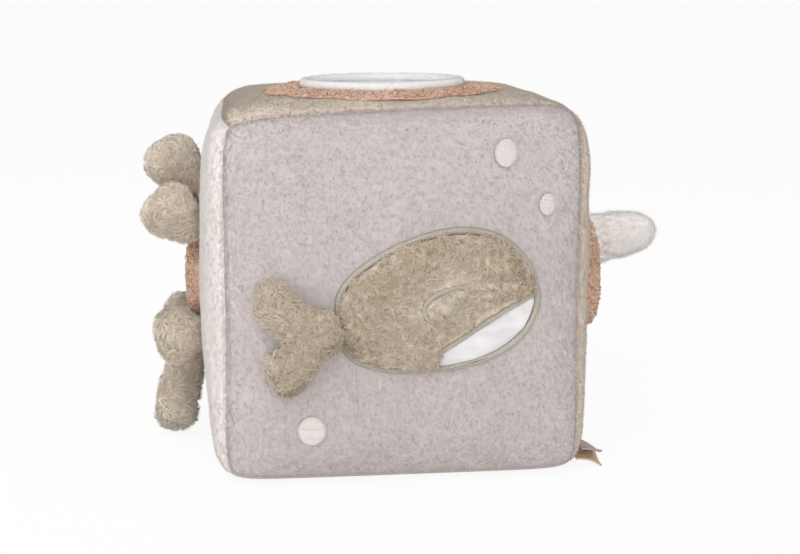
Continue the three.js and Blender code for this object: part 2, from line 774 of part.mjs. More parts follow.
// One side of a stuffed piece: the cloth on that face with the stuffing behind it, as far as the seam.
// The seam's share is its height up the thickness, from -1 at the lowest to 1 at the highest, and its turn
// is the angle that it is twisted round the piece.
function stuffedSide(shape, seamShare, seamTurn, above, axes) {
  const line = middleLine(shape.length, shape.rootLean, shape.tipLean);
  const hinge = line(rootRadius(shape));
  const seamAngle = Math.asin(seamShare);
  const from = (above ? seamAngle : Math.PI - seamAngle) + seamTurn;
  const to = (above ? Math.PI - seamAngle : 2 * Math.PI + seamAngle) + seamTurn;
  const shift = ((above ? 1 : -1) * stuffedSeamGap) / 2;
  const rings = stuffedStations(shape).map(({ at, halfWidth, halfThickness }) => {
    const { out, rise, lean } = line(at);
    return range(stuffedArc + 1).map((i) => {
      const angle = from + ((to - from) * i) / stuffedArc;
      const height = halfThickness * Math.sin(angle) + shift * Math.cos(seamTurn);
      const point = new THREE.Vector3();
      point.addScaledVector(axes.out, out - hinge.out - height * Math.sin(lean));
      point.addScaledVector(axes.rise, rise - hinge.rise + height * Math.cos(lean));
      return point.addScaledVector(axes.breadth, halfWidth * Math.cos(angle) - shift * Math.sin(seamTurn));
    });
  });
  return skin(rings, average(rings[0]), average(rings[rings.length - 1]));
}

// The stuffed limbs on the left: taupe teddy on the side away from the panel and peach on the side that
// faces it, which is the upper side on a limb that points up. Leans are degrees above level.
const limbSeamShare = 0.72;
const limbSeamTurn = THREE.MathUtils.degToRad(32);
const limbs = {
  upper_back: { along: -17, up: 35.3, length: 24, width: 18.5, thickness: 20, rootLean: 34, tipLean: 58 },
  upper_front: { along: 17, up: 21.8, length: 21.5, width: 19, thickness: 20, rootLean: 34, tipLean: 46 },
  lower_front: { along: 18, up: -23.5, length: 18.5, width: 19, thickness: 19.5, rootLean: 2, tipLean: -14 },
  lower_back: { along: -18, up: -25.5, length: 17.5, width: 18, thickness: 18, rootLean: 8, tipLean: 4 },
  hanging: { along: 0, up: -33, length: 40, width: 15.5, thickness: 15.5, rootLean: -54, tipLean: -92 },
};
const leftAxes = { out: sides.left.out, rise: sides.left.up, breadth: sides.left.across };
for (const [name, limb] of Object.entries(limbs)) {
  const group = hingeGroup(facePoint(sides.left, limb.along, limb.up, rootGap + rootRadius(limb)));
  const outerAbove = limb.up < 0;
  const facing = outerAbove ? -1 : 1;
  const seam = [facing * limbSeamShare, facing * limbSeamTurn];
  mesh(`limb_${name}_outer`, stuffedSide(limb, ...seam, outerAbove, leftAxes), "taupeTeddy", group);
  mesh(`limb_${name}_under`, stuffedSide(limb, ...seam, !outerAbove, leftAxes), "peachBoucle", group);
}

// The white stuffed tab on the right leans up a little and flaps forwards and back on its seam
const tab = { length: 50, width: 21.5, thickness: 13, rootLean: 0, tipLean: 0 };
const tabAlong = 29;
const tabUp = 0.5;
const tabTilt = THREE.MathUtils.degToRad(8);
const tabTurn = (direction) => direction.clone().applyAxisAngle(sides.back.out, -tabTilt);
const tabAxes = { out: tabTurn(sides.right.out), rise: sides.right.across, breadth: tabTurn(sides.right.up) };
const tabGroup = hingeGroup(facePoint(sides.right, tabAlong, tabUp, rootGap + rootRadius(tab)));
mesh("tab_front", stuffedSide(tab, 0, 0, false, tabAxes), "whitePlush", tabGroup);
mesh("tab_back", stuffedSide(tab, 0, 0, true, tabAxes), "whitePlush", tabGroup);

// Two bare ribbon tabs sewn in the right seam of the base, one above the other
const ribbonWidth = 10;
const ribbonThickness = 0.8;
const ribbonSteps = 6;
const ribbonAcrossShare = -0.8;
const ribbons = {
  mauve: { heightShare: -0.88, length: 11.5, rootLean: -8, tipLean: -34, finish: "mauveRibbon" },
  tan: { heightShare: -0.96, length: 10.5, rootLean: 4, tipLean: -40, finish: "tanRibbon" },
};
for (const [name, ribbon] of Object.entries(ribbons)) {
  const line = middleLine(ribbon.length, ribbon.rootLean, ribbon.tipLean);
  const rings = range(ribbonSteps + 1).map((i) => {
    const { out, rise, lean } = line((ribbon.length * i) / ribbonSteps);
    return [[-1, -1], [1, -1], [1, 1], [-1, 1]].map(([breadth, face]) => {
      const height = (face * ribbonThickness) / 2;
      return new THREE.Vector3(
        out - height * Math.sin(lean),
        (breadth * ribbonWidth) / 2,
        rise + height * Math.cos(lean),
      );
    });
  });
  const root = cubePoint(sides.right, ribbonAcrossShare, ribbon.heightShare, -rootGap);
  mesh(`ribbon_${name}`, skin(rings, average(rings[0]), average(rings[ribbonSteps])), ribbon.finish,
    hingeGroup(root));
}

export default block;
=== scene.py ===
# %% [markdown]
# # Soft fabric activity block
#
# A plush block for a baby, 14 cm along each edge of its frame of seams. Six panels of short-pile
# plush are sewn round a soft filling. A teddy fish is sewn on the front, a mirror with a piped rim
# on the top, and looped peach pads with stuffed pieces that flap on their seams on the sides.
#
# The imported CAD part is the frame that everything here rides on. Each soft CAD solid is replaced
# by a cloth form that sits in the same space. Lengths in this script are millimetres until a mesh
# is made, where they become metres. The rattle inside is rigid, so its CAD solids stay.

import json
import math

import bpy
import numpy as np
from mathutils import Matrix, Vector

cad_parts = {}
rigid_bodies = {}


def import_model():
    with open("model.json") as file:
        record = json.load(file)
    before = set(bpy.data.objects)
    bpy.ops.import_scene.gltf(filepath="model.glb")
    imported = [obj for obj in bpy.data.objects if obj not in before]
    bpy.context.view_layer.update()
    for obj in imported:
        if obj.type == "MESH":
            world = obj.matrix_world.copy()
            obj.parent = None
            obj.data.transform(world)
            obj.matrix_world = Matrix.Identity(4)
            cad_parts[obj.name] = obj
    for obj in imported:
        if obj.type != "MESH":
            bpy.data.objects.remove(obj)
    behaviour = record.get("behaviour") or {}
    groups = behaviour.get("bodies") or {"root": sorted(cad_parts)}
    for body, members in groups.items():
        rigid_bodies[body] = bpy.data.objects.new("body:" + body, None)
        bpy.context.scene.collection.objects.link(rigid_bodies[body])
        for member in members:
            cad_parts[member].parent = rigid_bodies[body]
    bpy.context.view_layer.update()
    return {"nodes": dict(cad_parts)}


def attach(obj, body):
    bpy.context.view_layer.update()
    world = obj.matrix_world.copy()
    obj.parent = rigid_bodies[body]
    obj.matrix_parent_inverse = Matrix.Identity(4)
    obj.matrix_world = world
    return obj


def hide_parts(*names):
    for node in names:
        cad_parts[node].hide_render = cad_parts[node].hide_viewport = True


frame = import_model()
nodes = frame["nodes"]
MM = 0.001
THINNING = 1

# %% [markdown]
# ## The shape of the stuffed cube
#
# The real block is six squares of plush, sewn inside out, turned and filled, so it is a cube with
# soft edges, crowned faces and a slightly squashed base. It could be sculpted, or simulated from a
# flat pattern. Here one formula gives every point of its skin, because the pads, the stitches and the
# limbs can then find their place on it from two distances across a panel.
#
# A power of 9.6 rounds the upper corners, and it grows to 13 at the base, where the filling presses
# the corners out. Each panel is drawn in along its seams. The seam between the front and the top
# drifts: level with the edge on the left, and further back on the right.

# %% The cube's formula
HALF = 70.0  # half the distance between two opposite panels
CORNER_POWER, BASE_POWER, SEAM_POWER = 9.6, 13.0, 16.0
SEAM_DEPTH = 0.5  # how far the seams are drawn in
SEWN_GAP = 0.3  # between a panel and what is sewn on it
RISE, MIDDLE_Z, TOP_Z = 0.4, 70.5, 140.5  # the top is 0.4 mm higher on the right
SEAM_REACH = HALF / 2 ** (1 / CORNER_POWER)
SEAM_DRIFT, EDGE_ANGLE = 9.6, math.pi / 4
SQUASH_HEIGHT, SQUASH_SHARE = 8.0, 0.4


def vec(x, y, z):
    return np.array([x, y, z], float)


MIDDLE = vec(0, 0, MIDDLE_Z)
SIDES = {
    "front": {"out": vec(0, -1, 0), "across": vec(1, 0, 0), "up": vec(0, 0, 1), "crown": 3.2},
    "back": {"out": vec(0, 1, 0), "across": vec(-1, 0, 0), "up": vec(0, 0, 1), "crown": 3.2},
    "left": {"out": vec(-1, 0, 0), "across": vec(0, -1, 0), "up": vec(0, 0, 1), "crown": 3.2},
    "right": {"out": vec(1, 0, 0), "across": vec(0, 1, 0), "up": vec(0, 0, 1), "crown": 3.2},
    "top": {"out": vec(0, 0, 1), "across": vec(1, 0, 0), "up": vec(0, 1, 0), "crown": 1.2},
    "bottom": {"out": vec(0, 0, -1), "across": vec(1, 0, 0), "up": vec(0, -1, 0), "crown": 1.5},
}


def drift(points):
    """Slides the cloth over the edge between the front and the top, more towards the right."""
    y, up = points[..., 1], points[..., 2] - MIDDLE_Z
    angle = np.arctan2(up, -y)
    nearness = np.maximum(0, 1 - np.abs(angle - EDGE_ANGLE) / EDGE_ANGLE)
    slide = SEAM_DRIFT * (1 + points[..., 0] / HALF) / 2 * np.sin(nearness * math.pi / 2) ** 2
    turned = angle + slide / (SEAM_REACH * math.sqrt(2))
    distance = np.hypot(y, up)
    new_y, new_up = -distance * np.cos(turned), distance * np.sin(turned)

    def size(a, b):
        return (np.abs(a) ** CORNER_POWER + np.abs(b) ** CORNER_POWER + 1e-9) ** (1 / CORNER_POWER)
    scale = np.where(nearness > 0, size(y, up) / size(new_y, new_up), 1)
    points[..., 1] = new_y * scale
    points[..., 2] = MIDDLE_Z + new_up * scale
    return points


def settle(points):
    """Leans the top down a little to the left and presses the edge of the base down."""
    points = drift(points)
    z = points[..., 2] + RISE * points[..., 0] * points[..., 2] / (HALF * TOP_Z)
    z = np.maximum(z, 0)
    points[..., 2] = z * (1 - SQUASH_SHARE * np.exp(-z / SQUASH_HEIGHT))
    return points


def power_at(steepness):
    """How square the corners are: more so on the panel's lower part."""
    return CORNER_POWER + (BASE_POWER - CORNER_POWER) * np.maximum(0, -steepness) ** 2


def cube_point(side, u, v, depth=0.0):
    """Points of the cube's skin, where u and v run from -1 to 1 between a panel's seams."""
    power = power_at(side["up"][2] * v + side["out"][2])
    length = (np.abs(u) ** power + np.abs(v) ** power + 1) ** (1 / power)
    crown = side["crown"] * (1 - u * u) * (1 - v * v)
    draw = SEAM_DEPTH * np.maximum(np.abs(u), np.abs(v)) ** SEAM_POWER
    reach = HALF / length
    scale = (HALF - draw) * (HALF - depth) / HALF ** 2
    points = (MIDDLE + (u * reach * scale)[..., None] * side["across"]
              + (v * reach * scale)[..., None] * side["up"]
              + ((reach + crown) * scale)[..., None] * side["out"])
    return settle(points)


def face_point(side, across, up, height):
    """Points at a height above a panel, by their distances across and up its face."""
    across, up, height = np.broadcast_arrays(*(np.asarray(x, float) for x in (across, up, height)))
    power = power_at(side["up"][2] * up / HALF + side["out"][2])
    rest = np.maximum(1 - np.abs(across / HALF) ** power - np.abs(up / HALF) ** power, 0.01)
    reach = HALF * rest ** (1 / power)
    crown = side["crown"] * (1 - (across / reach) ** 2) * (1 - (up / reach) ** 2)
    points = (MIDDLE + across[..., None] * side["across"] + up[..., None] * side["up"]
              + (reach + crown + height)[..., None] * side["out"])
    return settle(points) + swelling(side, across / HALF, up / HALF)


lowest = cube_point(SIDES["bottom"], np.zeros(1), np.zeros(1))[0, 2]
highest = cube_point(SIDES["top"], np.zeros(1), np.zeros(1))[0, 2]
print(f"the middle of the base is at {lowest:.2f} mm and the middle of the top at {highest:.2f} mm")

# %% [markdown]
# ## Noise
#
# Sewn cloth is uneven: the filling makes soft lumps behind it, and its pile lies in tufts. Blender's
# own textures could move the points, but the pile and the puckers need the same lumps in code. So the
# noise is made here from hashed whole numbers and a seed, and each run gives the same cloth.

# %% Noise
def hashed(cells, seed):
    """A steady pseudo-random number from 0 to 1 for each whole-number place and seed."""
    h = (cells[..., 0] * 374761393 + cells[..., 1] * 668265263 + cells[..., 2] * 1274126177
         + seed * 974634777) & 0xFFFFFFFF
    h = ((h ^ (h >> 13)) * 1274126177) & 0xFFFFFFFF
    h = ((h ^ (h >> 16)) * 2246822519) & 0xFFFFFFFF
    return ((h ^ (h >> 15)) & 0xFFFFFF) / float(0xFFFFFF)


def eased(t):
    """A soft step: level at 0 and at 1."""
    return t * t * (3 - 2 * t)


def smooth_noise(points, size, seed):
    """Smooth noise from -1 to 1 with lumps about as wide as size, in the points' own unit."""
    q = points / np.asarray(size, float)
    cells = np.floor(q).astype(np.int64)
    f = eased(q - cells)
    total = np.zeros(points.shape[:-1])
    for dx in (0, 1):
        for dy in (0, 1):
            for dz in (0, 1):
                weight = (np.where(dx, f[..., 0], 1 - f[..., 0])
                          * np.where(dy, f[..., 1], 1 - f[..., 1])
                          * np.where(dz, f[..., 2], 1 - f[..., 2]))
                total += weight * hashed(cells + np.array([dx, dy, dz]), seed)
    return 2 * total - 1


sample = np.stack(np.meshgrid(*[np.arange(12.0)] * 3), -1)
noise = smooth_noise(sample, 5.0, 1)
print(f"noise: mean {noise.mean():.2f}, spread {noise.std():.2f}")

# %% Clumps of pile
def clumps(points, size, seed):
    """Round clumps about as wide as size: 1 on the crown of each clump and 0 in the furrows."""
    q = points / np.asarray(size, float)
    cells = np.floor(q).astype(np.int64)
    nearest = np.full(points.shape[:-1], 9.0)
    second = nearest.copy()
    for dx in (-1, 0, 1):
        for dy in (-1, 0, 1):
            for dz in (-1, 0, 1):
                there = cells + np.array([dx, dy, dz])
                d = np.zeros(points.shape[:-1])
                for axis in range(3):
                    place = there[..., axis] + 0.15 + 0.7 * hashed(there, seed + 17 * axis)
                    d += (q[..., axis] - place) ** 2
                d = np.sqrt(d)
                second = np.minimum(second, np.maximum(d, nearest))
                nearest = np.minimum(nearest, d)
    return np.clip((second - nearest) / 0.55, 0, 1)


print(f"clumps cover {(clumps(sample, 5.0, 1) > 0.5).mean():.0%} of the cloth")

# %% [markdown]
# ## Grids and closed bodies
#
# Every piece below is a grid of points, with rows and columns that follow the piece, as warp and weft
# follow a cloth. A grid is easy to bend, to press and to scatter pile on. It becomes a closed body, so
# that its export is a clean solid: two sheets with a wall round them, or rings closed at both ends.

# %% Grids
def unit(v):
    """Vectors of length 1."""
    return v / np.maximum(np.linalg.norm(v, axis=-1, keepdims=True), 1e-9)


def grid_normals(grid, outwards, around=False):
    """Unit normals of a grid of points, on the side that outwards points to."""
    if around:
        padded = np.concatenate([grid[:, -1:], grid, grid[:, :1]], axis=1)
        along_v = np.gradient(padded, axis=1)[:, 1:-1]
    else:
        along_v = np.gradient(grid, axis=1)
    normal = unit(np.cross(np.gradient(grid, axis=0), along_v))
    turn = np.sign(np.sum(normal * outwards, axis=-1).mean()) or 1.0
    return normal * turn


def grid_quads(rows, columns, first=0, around=False):
    """The quads of a grid whose points are numbered row by row."""
    r, c = np.meshgrid(np.arange(rows - 1), np.arange(columns if around else columns - 1), indexing="ij")
    a = first + r * columns + c
    b = first + r * columns + (c + 1) % columns
    return np.stack([a, b, b + columns, a + columns], -1).reshape(-1, 4)


def wall_quads(rows, columns, lower):
    """Quads that join the edge of a grid to the edge of the same grid further on in the list."""
    index = np.arange(rows * columns).reshape(rows, columns)
    edge = np.concatenate([index[0, :-1], index[:-1, -1], index[-1, :0:-1], index[:0:-1, 0]])
    after = np.roll(edge, -1)
    return np.stack([edge, lower + edge, lower + after, after], -1)


print("a grid of 3 x 4 points has", len(grid_quads(3, 4)), "quads, or", len(grid_quads(3, 4, around=True)),
      "closed round")

# %% Closed bodies
def sheet_body(top, bottom):
    """A closed body from two matching grids: its points and its faces."""
    rows, columns = top.shape[:2]
    points = np.concatenate([top.reshape(-1, 3), bottom.reshape(-1, 3)])
    lower = rows * columns
    faces = [grid_quads(rows, columns), grid_quads(rows, columns, lower)[:, ::-1],
             wall_quads(rows, columns, lower)[:, ::-1]]
    return points, faces


def ring_body(rings, first=None, last=None):
    """A closed body from rings of equal count, closed at two end points or on itself."""
    count, around = rings.shape[:2]
    points = rings.reshape(-1, 3)
    faces = [grid_quads(count, around, around=True)]
    k = np.arange(around)
    after = (k + 1) % around
    if first is None:
        tail = (count - 1) * around
        faces.append(np.stack([tail + k, tail + after, after, k], -1))
        return points, faces
    end = len(points)
    points = np.concatenate([points, [first], [last]])
    tail = (count - 1) * around
    faces.append(np.stack([np.full(around, end), after, k], -1))
    faces.append(np.stack([np.full(around, end + 1), tail + k, tail + after], -1))
    return points, faces

# %% A mesh from points
def build(name, points, faces, material=None, body=None, smooth=True, turn=True, shading=None):
    """Makes a mesh object from points in millimetres, with its faces turned outwards."""
    points = np.asarray(points, float)
    if turn:
        volume = 0.0
        for f in faces:
            for k in range(1, f.shape[1] - 1):
                a, b, c = points[f[:, 0]], points[f[:, k]], points[f[:, k + 1]]
                volume += np.sum(a * np.cross(b, c))
        if volume < 0:
            faces = [f[:, ::-1] for f in faces]
    mesh = bpy.data.meshes.new(name)
    corners = np.concatenate([f.ravel() for f in faces]).astype(np.int32)
    sizes = np.concatenate([np.full(len(f), f.shape[1]) for f in faces])
    starts = np.concatenate([[0], np.cumsum(sizes)[:-1]]).astype(np.int32)
    mesh.vertices.add(len(points))
    mesh.vertices.foreach_set("co", (points * MM).astype(np.float32).ravel())
    mesh.loops.add(len(corners))
    mesh.loops.foreach_set("vertex_index", corners)
    mesh.polygons.add(len(sizes))
    mesh.polygons.foreach_set("loop_start", starts)
    mesh.polygons.foreach_set("use_smooth", np.full(len(sizes), smooth))
    mesh.update(calc_edges=True)
    if shading is not None:
        mesh.normals_split_custom_set_from_vertices(shading)
    obj = bpy.data.objects.new(name, mesh)
    bpy.context.scene.collection.objects.link(obj)
    if material:
        mesh.materials.append(material)
    if body:
        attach(obj, body)
    return obj


# %% [markdown]
# ## Cloth simulation
#
# A closed form of cloth swells under pressure. Its seams are pinned, and the cloth beside them is
# cut a little longer than the seam, so it gathers into puckers as real sewn plush does. The way
# that each point has moved is kept as a grid, and finer grids take their shape from it.
#
# The puckers could be sculpted. Simulating them lets the same few values serve the block, the limbs
# and the tab, and a cap on the movement keeps every piece in the space of its CAD solid.

# %% Swelling a closed cloth form
CLOTH_FRAMES, CLOTH_STIFFNESS = 20, 8.0


def swell(points, faces, pinned, gathered, pressure, slack, gather, cap):
    """How far each point of a closed cloth form moves as it swells, in millimetres."""
    obj = build("swelling_form", points, faces)
    for name, weights in (("pinned", pinned), ("gathered", gathered)):
        group = obj.vertex_groups.new(name=name)
        for weight in np.unique(np.round(weights, 2)):
            if weight > 0:
                chosen = np.nonzero(np.round(weights, 2) == weight)[0]
                group.add([int(i) for i in chosen], float(weight), "REPLACE")
    cloth = obj.modifiers.new("cloth", "CLOTH")
    s = cloth.settings
    s.quality = 6
    s.mass = 0.15
    s.air_damping = 3.0
    s.tension_stiffness = s.compression_stiffness = s.shear_stiffness = CLOTH_STIFFNESS
    s.bending_stiffness = 0.3
    s.vertex_group_mass = "pinned"
    s.vertex_group_shrink = "gathered"
    s.shrink_min = -slack
    s.shrink_max = -gather
    s.use_pressure = True
    s.uniform_pressure_force = pressure
    s.effector_weights.gravity = 0
    cloth.point_cache.frame_start = 1
    cloth.point_cache.frame_end = CLOTH_FRAMES
    scene = bpy.context.scene
    for number in range(1, CLOTH_FRAMES + 1):
        scene.frame_set(number)
    evaluated = obj.evaluated_get(bpy.context.evaluated_depsgraph_get())
    moved = np.zeros(len(points) * 3, np.float32)
    evaluated.data.vertices.foreach_get("co", moved)
    scene.frame_set(1)
    bpy.data.objects.remove(obj)
    offset = np.nan_to_num(moved.reshape(-1, 3) / MM - points)
    length = np.linalg.norm(offset, axis=1, keepdims=True)
    return offset * np.minimum(1, cap / np.maximum(length, 1e-6))


print("cloth:", f"{CLOTH_FRAMES} frames for each piece")

# %% Smooth values between points
def curve_between(a, b, c, d, t):
    """A smooth curve from b to c, with a before them and d after them, where t runs from 0 to 1."""
    return 0.5 * (2 * b + (c - a) * t + (2 * a - 5 * b + 4 * c - d) * t ** 2
                  + (3 * b - a - 3 * c + d) * t ** 3)


def spline(values, places):
    """A row of values taken at fractional places, smoothly between its entries."""
    i = np.clip(np.floor(places).astype(int), 0, len(values) - 2)
    t = (places - i)[(...,) + (None,) * (values.ndim - 1)]
    return curve_between(*(values[np.clip(i + k, 0, len(values) - 1)] for k in (-1, 0, 1, 2)), t)


def resampled(grid, rows, columns):
    """A grid of values taken at fractional rows and columns."""
    return np.swapaxes(spline(np.swapaxes(spline(grid, rows), 0, 1), columns), 0, 1)


print("halfway between 1 and 4 in 0, 1, 4, 9:", spline(np.array([0.0, 1.0, 4.0, 9.0]), np.array([1.5]))[0])

# %% The skin of the whole block
SWELL_CELLS = 44
STANDING = 2.5  # below this height the cloth rests on the floor and stays put
TOP_SHARE = 0.35  # the top is held by its large pad, so it swells less
swellings = {}


def merged(points):
    """Unique points, to a thousandth, and the index of each given point among them."""
    _, index, inverse = np.unique(np.round(points, 3), axis=0, return_index=True, return_inverse=True)
    return points[index], inverse.ravel()


def swelling(side, u, v):
    """The simulated movement of a panel at places u and v, from -1 to 1 between its seams."""
    field = swellings.get(id(side))
    if field is None:
        return 0.0
    shape = np.shape(u)
    x = np.clip((np.ravel(u) + 1) / 2 * SWELL_CELLS, 0, SWELL_CELLS)
    y = np.clip((np.ravel(v) + 1) / 2 * SWELL_CELLS, 0, SWELL_CELLS)
    i = np.minimum(x.astype(int), SWELL_CELLS - 1)
    j = np.minimum(y.astype(int), SWELL_CELLS - 1)
    a, b = eased((x - i)[:, None]), eased((y - j)[:, None])
    value = ((field[j, i] * (1 - a) + field[j, i + 1] * a) * (1 - b)
             + (field[j + 1, i] * (1 - a) + field[j + 1, i + 1] * a) * b)
    return value.reshape(shape + (3,))


def swell_cube():
    """Simulates the skin of the whole block at once, and keeps the movement panel by panel."""
    lines = np.linspace(-1, 1, SWELL_CELLS + 1)
    v, u = np.meshgrid(lines, lines, indexing="ij")
    grids = [cube_point(side, u, v) for side in SIDES.values()]
    flat = np.concatenate([g.reshape(-1, 3) for g in grids])
    points, index = merged(flat)
    size = (SWELL_CELLS + 1) ** 2
    faces = [index[grid_quads(SWELL_CELLS + 1, SWELL_CELLS + 1, k * size)] for k in range(6)]
    edge = np.maximum(np.abs(u), np.abs(v)).ravel()
    reach = np.zeros(len(points))
    np.maximum.at(reach, index, np.tile(edge, 6))
    pinned = (reach > 0.999).astype(float)
    pinned[points[:, 2] < STANDING] = 1.0
    gathered = np.clip((reach - 0.80) / 0.18, 0, 1)
    offset = swell(points, faces, pinned, gathered, 2.0, 0.002, 0.05, 1.6)
    print(f"cube skin moved up to {np.linalg.norm(offset, axis=1).max():.2f} mm")
    for k, side in enumerate(SIDES.values()):
        field = offset[index[k * size:(k + 1) * size]].reshape(SWELL_CELLS + 1, SWELL_CELLS + 1, 3)
        swellings[id(side)] = field * (TOP_SHARE if side is SIDES["top"] else 1.0)


swell_cube()

# %% [markdown]
# ## Materials
#
# Each material is named for what the real one is. Its colours are written as sRGB hex and turned
# into linear light by one function. Its patterns could be pictures, but those need an unwrapped
# surface. Noise and waves in the object's own coordinates need none, and their scale is a real size in
# millimetres. What is finer than about 0.3 mm doesn't show, so it is drawn as coarse as it needs to.

# %% Material tools
def linear(hex_colour):
    """An sRGB colour such as 'c9bdbe' as linear red, green, blue and alpha."""
    parts = [int(hex_colour[i:i + 2], 16) / 255 for i in (0, 2, 4)]
    return tuple(c / 12.92 if c <= 0.04045 else ((c + 0.055) / 1.055) ** 2.4 for c in parts) + (1.0,)


def connect(tree, node, inputs):
    """Links each input to another node, or sets its value."""
    for key, value in inputs.items():
        if isinstance(value, bpy.types.NodeSocket):
            tree.links.new(value, node.inputs[key])
        else:
            node.inputs[key].default_value = value


def add_node(tree, kind, inputs=None, stops=None, **settings):
    """Adds a node with its settings, its links and values, and the stops of its colour ramp."""
    node = tree.nodes.new(kind)
    for key, value in settings.items():
        setattr(node, key, value)
    connect(tree, node, inputs or {})
    if stops:
        elements = node.color_ramp.elements
        while len(elements) < len(stops):
            elements.new(0.5)
        for element, (position, colour) in zip(elements, stops):
            element.position = position
            element.color = linear(colour)
    return node


def place_in(tree, stretch=(1, 1, 1)):
    """Object coordinates in millimetres, stretched along each axis."""
    coordinates = add_node(tree, "ShaderNodeTexCoord")
    mapping = add_node(tree, "ShaderNodeMapping", {
        "Vector": coordinates.outputs["Object"], "Scale": tuple(1 / MM / s for s in stretch)})
    return mapping.outputs["Vector"]


def empty_tree(owner):
    """The nodes of a material or a world, cleared."""
    owner.use_nodes = True
    owner.node_tree.nodes.clear()
    return owner.node_tree


def new_material(name, stretch=(1, 1, 1)):
    """A material, its nodes, its shader and the place on the object in millimetres."""
    material = bpy.data.materials.new(name)
    tree = empty_tree(material)
    shader = add_node(tree, "ShaderNodeBsdfPrincipled")
    add_node(tree, "ShaderNodeOutputMaterial", {"Surface": shader.outputs["BSDF"]}, target="ALL")
    return material, tree, shader, place_in(tree, stretch)


def set_up(tree, shader, colour, rough, bump, sheen=None, **constants):
    """Sets the shader's colour and roughness, its bump (height, strength, millimetres) and its sheen."""
    height, strength, distance = bump
    relief = add_node(tree, "ShaderNodeBump", {
        "Height": height, "Strength": strength, "Distance": distance * MM})
    inputs = {"Base Color": colour, "Roughness": rough, "Normal": relief.outputs["Normal"]}
    if sheen:
        weight, tint, sheen_rough = sheen
        inputs.update({"Sheen Weight": weight, "Sheen Tint": linear(tint), "Sheen Roughness": sheen_rough})
    inputs.update({key.replace("_", " "): value for key, value in constants.items()})
    connect(tree, shader, inputs)


print("sRGB grey 808080 is", round(linear("808080")[0], 3), "in linear light")

# %% [markdown]
# ## Plush, teddy, looped cloth and velour
#
# All of these are knitted polyester with a pile. The panels' short plush is cut and brushed, teddy has
# long curled strands, the peach pads have uncut loops, and velour is short and dense. Real strands
# grow on them further on, and this material colours both the strands and the cloth below them.
#
# What the eye gets: tufts of a few close tones, broad patches of painted light and painted shade where a
# hand has stroked the pile, a matt surface, and a soft sheen where it turns away. One fibre is 0.02 mm
# thick, far too fine to show, so the tones change by tufts of 1 to 2 mm.

# %% Pile materials
# Painted light and shade of the brushed nap: the width of its patches in mm, and their share of the colour.
BRUSHED_SHADE_PATCH, BRUSHED_SHADE_SHARE = 24.0, 0.35
NAP_STRETCH = (1.1, 1.1, 2.0)


def plush_material(name, deep, middle, pale, nap=1.0, sheen=0.35, stretch=(1, 1, 1), relief=0.16):
    """Pile: tufts of a few close tones, broad brushed patches of painted light and shade, fine waves and a
    soft sheen.
    """
    material, tree, shader, place = new_material(name, stretch)
    tufts = add_node(tree, "ShaderNodeTexNoise", {
        "Vector": place, "Scale": 1.0 / nap, "Detail": 3.0, "Roughness": 0.6, "Distortion": 0.9})
    tufts = tufts.outputs["Fac"]
    # Broad patches of painted light and painted shade, where the brushed nap would turn the light.
    patches = add_node(tree, "ShaderNodeTexNoise", {
        "Vector": place_in(tree), "Scale": 1.0 / BRUSHED_SHADE_PATCH, "Detail": 2.0, "Roughness": 0.5})
    tone = add_node(tree, "ShaderNodeValToRGB", {"Fac": tufts}, [(0.3, deep), (0.5, middle), (0.7, pale)])
    brushed = add_node(tree, "ShaderNodeValToRGB", {"Fac": patches.outputs["Fac"]},
                       [(0.33, deep), (0.52, middle), (0.7, pale)])
    colour = add_node(tree, "ShaderNodeMix", {
        0: BRUSHED_SHADE_SHARE, 6: tone.outputs["Color"], 7: brushed.outputs["Color"]}, data_type="RGBA")
    rough = add_node(tree, "ShaderNodeMapRange", {
        "Value": tufts, "From Min": 0.3, "From Max": 0.7, "To Min": 0.88, "To Max": 1.0})
    set_up(tree, shader, colour.outputs[2], rough.outputs["Result"], (tufts, relief, nap * 0.45),
           (sheen, pale, 0.5), Specular_IOR_Level=0.15)
    return material


materials = {
    # Short plush of the panels: dense, so its tones are close, with tufts longer up and down than across.
    "mauve_plush": plush_material("mauve_short_plush", "bcb2b1", "c0b7b6", "c5bcbb", 1.0, 0.5, NAP_STRETCH),
    "cream_plush": plush_material("cream_short_plush", "dfd7d3", "e5deda", "eae4e1", 1.0, 0.5, NAP_STRETCH),
    "taupe_plush": plush_material("taupe_short_plush", "ccbeae", "d4c6b7", "dbcfc2", 1.0, 0.5, NAP_STRETCH),
    # Teddy of the fish: loose, with deep tones that are partly its own colour and partly painted shade
    # between its tufts. The limbs get a copy of it painted paler, as painted light, so that they look lit.
    "taupe_teddy": plush_material("taupe_teddy_pile", "a3927a", "c6b6a2", "e0d4c5", 2.0, 0.9, relief=0.4),
    "painted_lit_teddy": plush_material("painted_lit_teddy_pile", "c7b6a0", "e3d5c3", "f5ede2", 2.0, 0.9, relief=0.4),
    # Looped cloth of the pads: pale and dark tones, laid by noise, paint the light on the crowns of its loops
    # and the shade at their feet.
    "peach_boucle": plush_material("peach_looped_pile", "ba8f75", "d4b19b", "ecd6c8", 1.8, 0.3, relief=0.4),
    # Velour of the mirror's rim, nearly even, and the brushed white cloth of the tab.
    "white_velour": plush_material("white_velour_piping", "dddad9", "e6e3e1", "edebe9", 1.4, 0.2, relief=0.2),
    "white_plush": plush_material("white_soft_plush", "f1e9e3", "f8f2ee", "fcf9f7", 1.4, 0.6, relief=0.3),
}
print("plush materials:", ", ".join(materials))

# %% [markdown]
# ## Thread, satin, ribbon, film, plastic and fibre
#
# These are smoother than pile, and each was made in its own way, so each has its own short recipe: one
# pattern for its tone and one for its relief. They share the values below for their noise.

# %% Thread, satin and ribbon
CLOUDY = {"Detail": 2.0, "Roughness": 0.55}


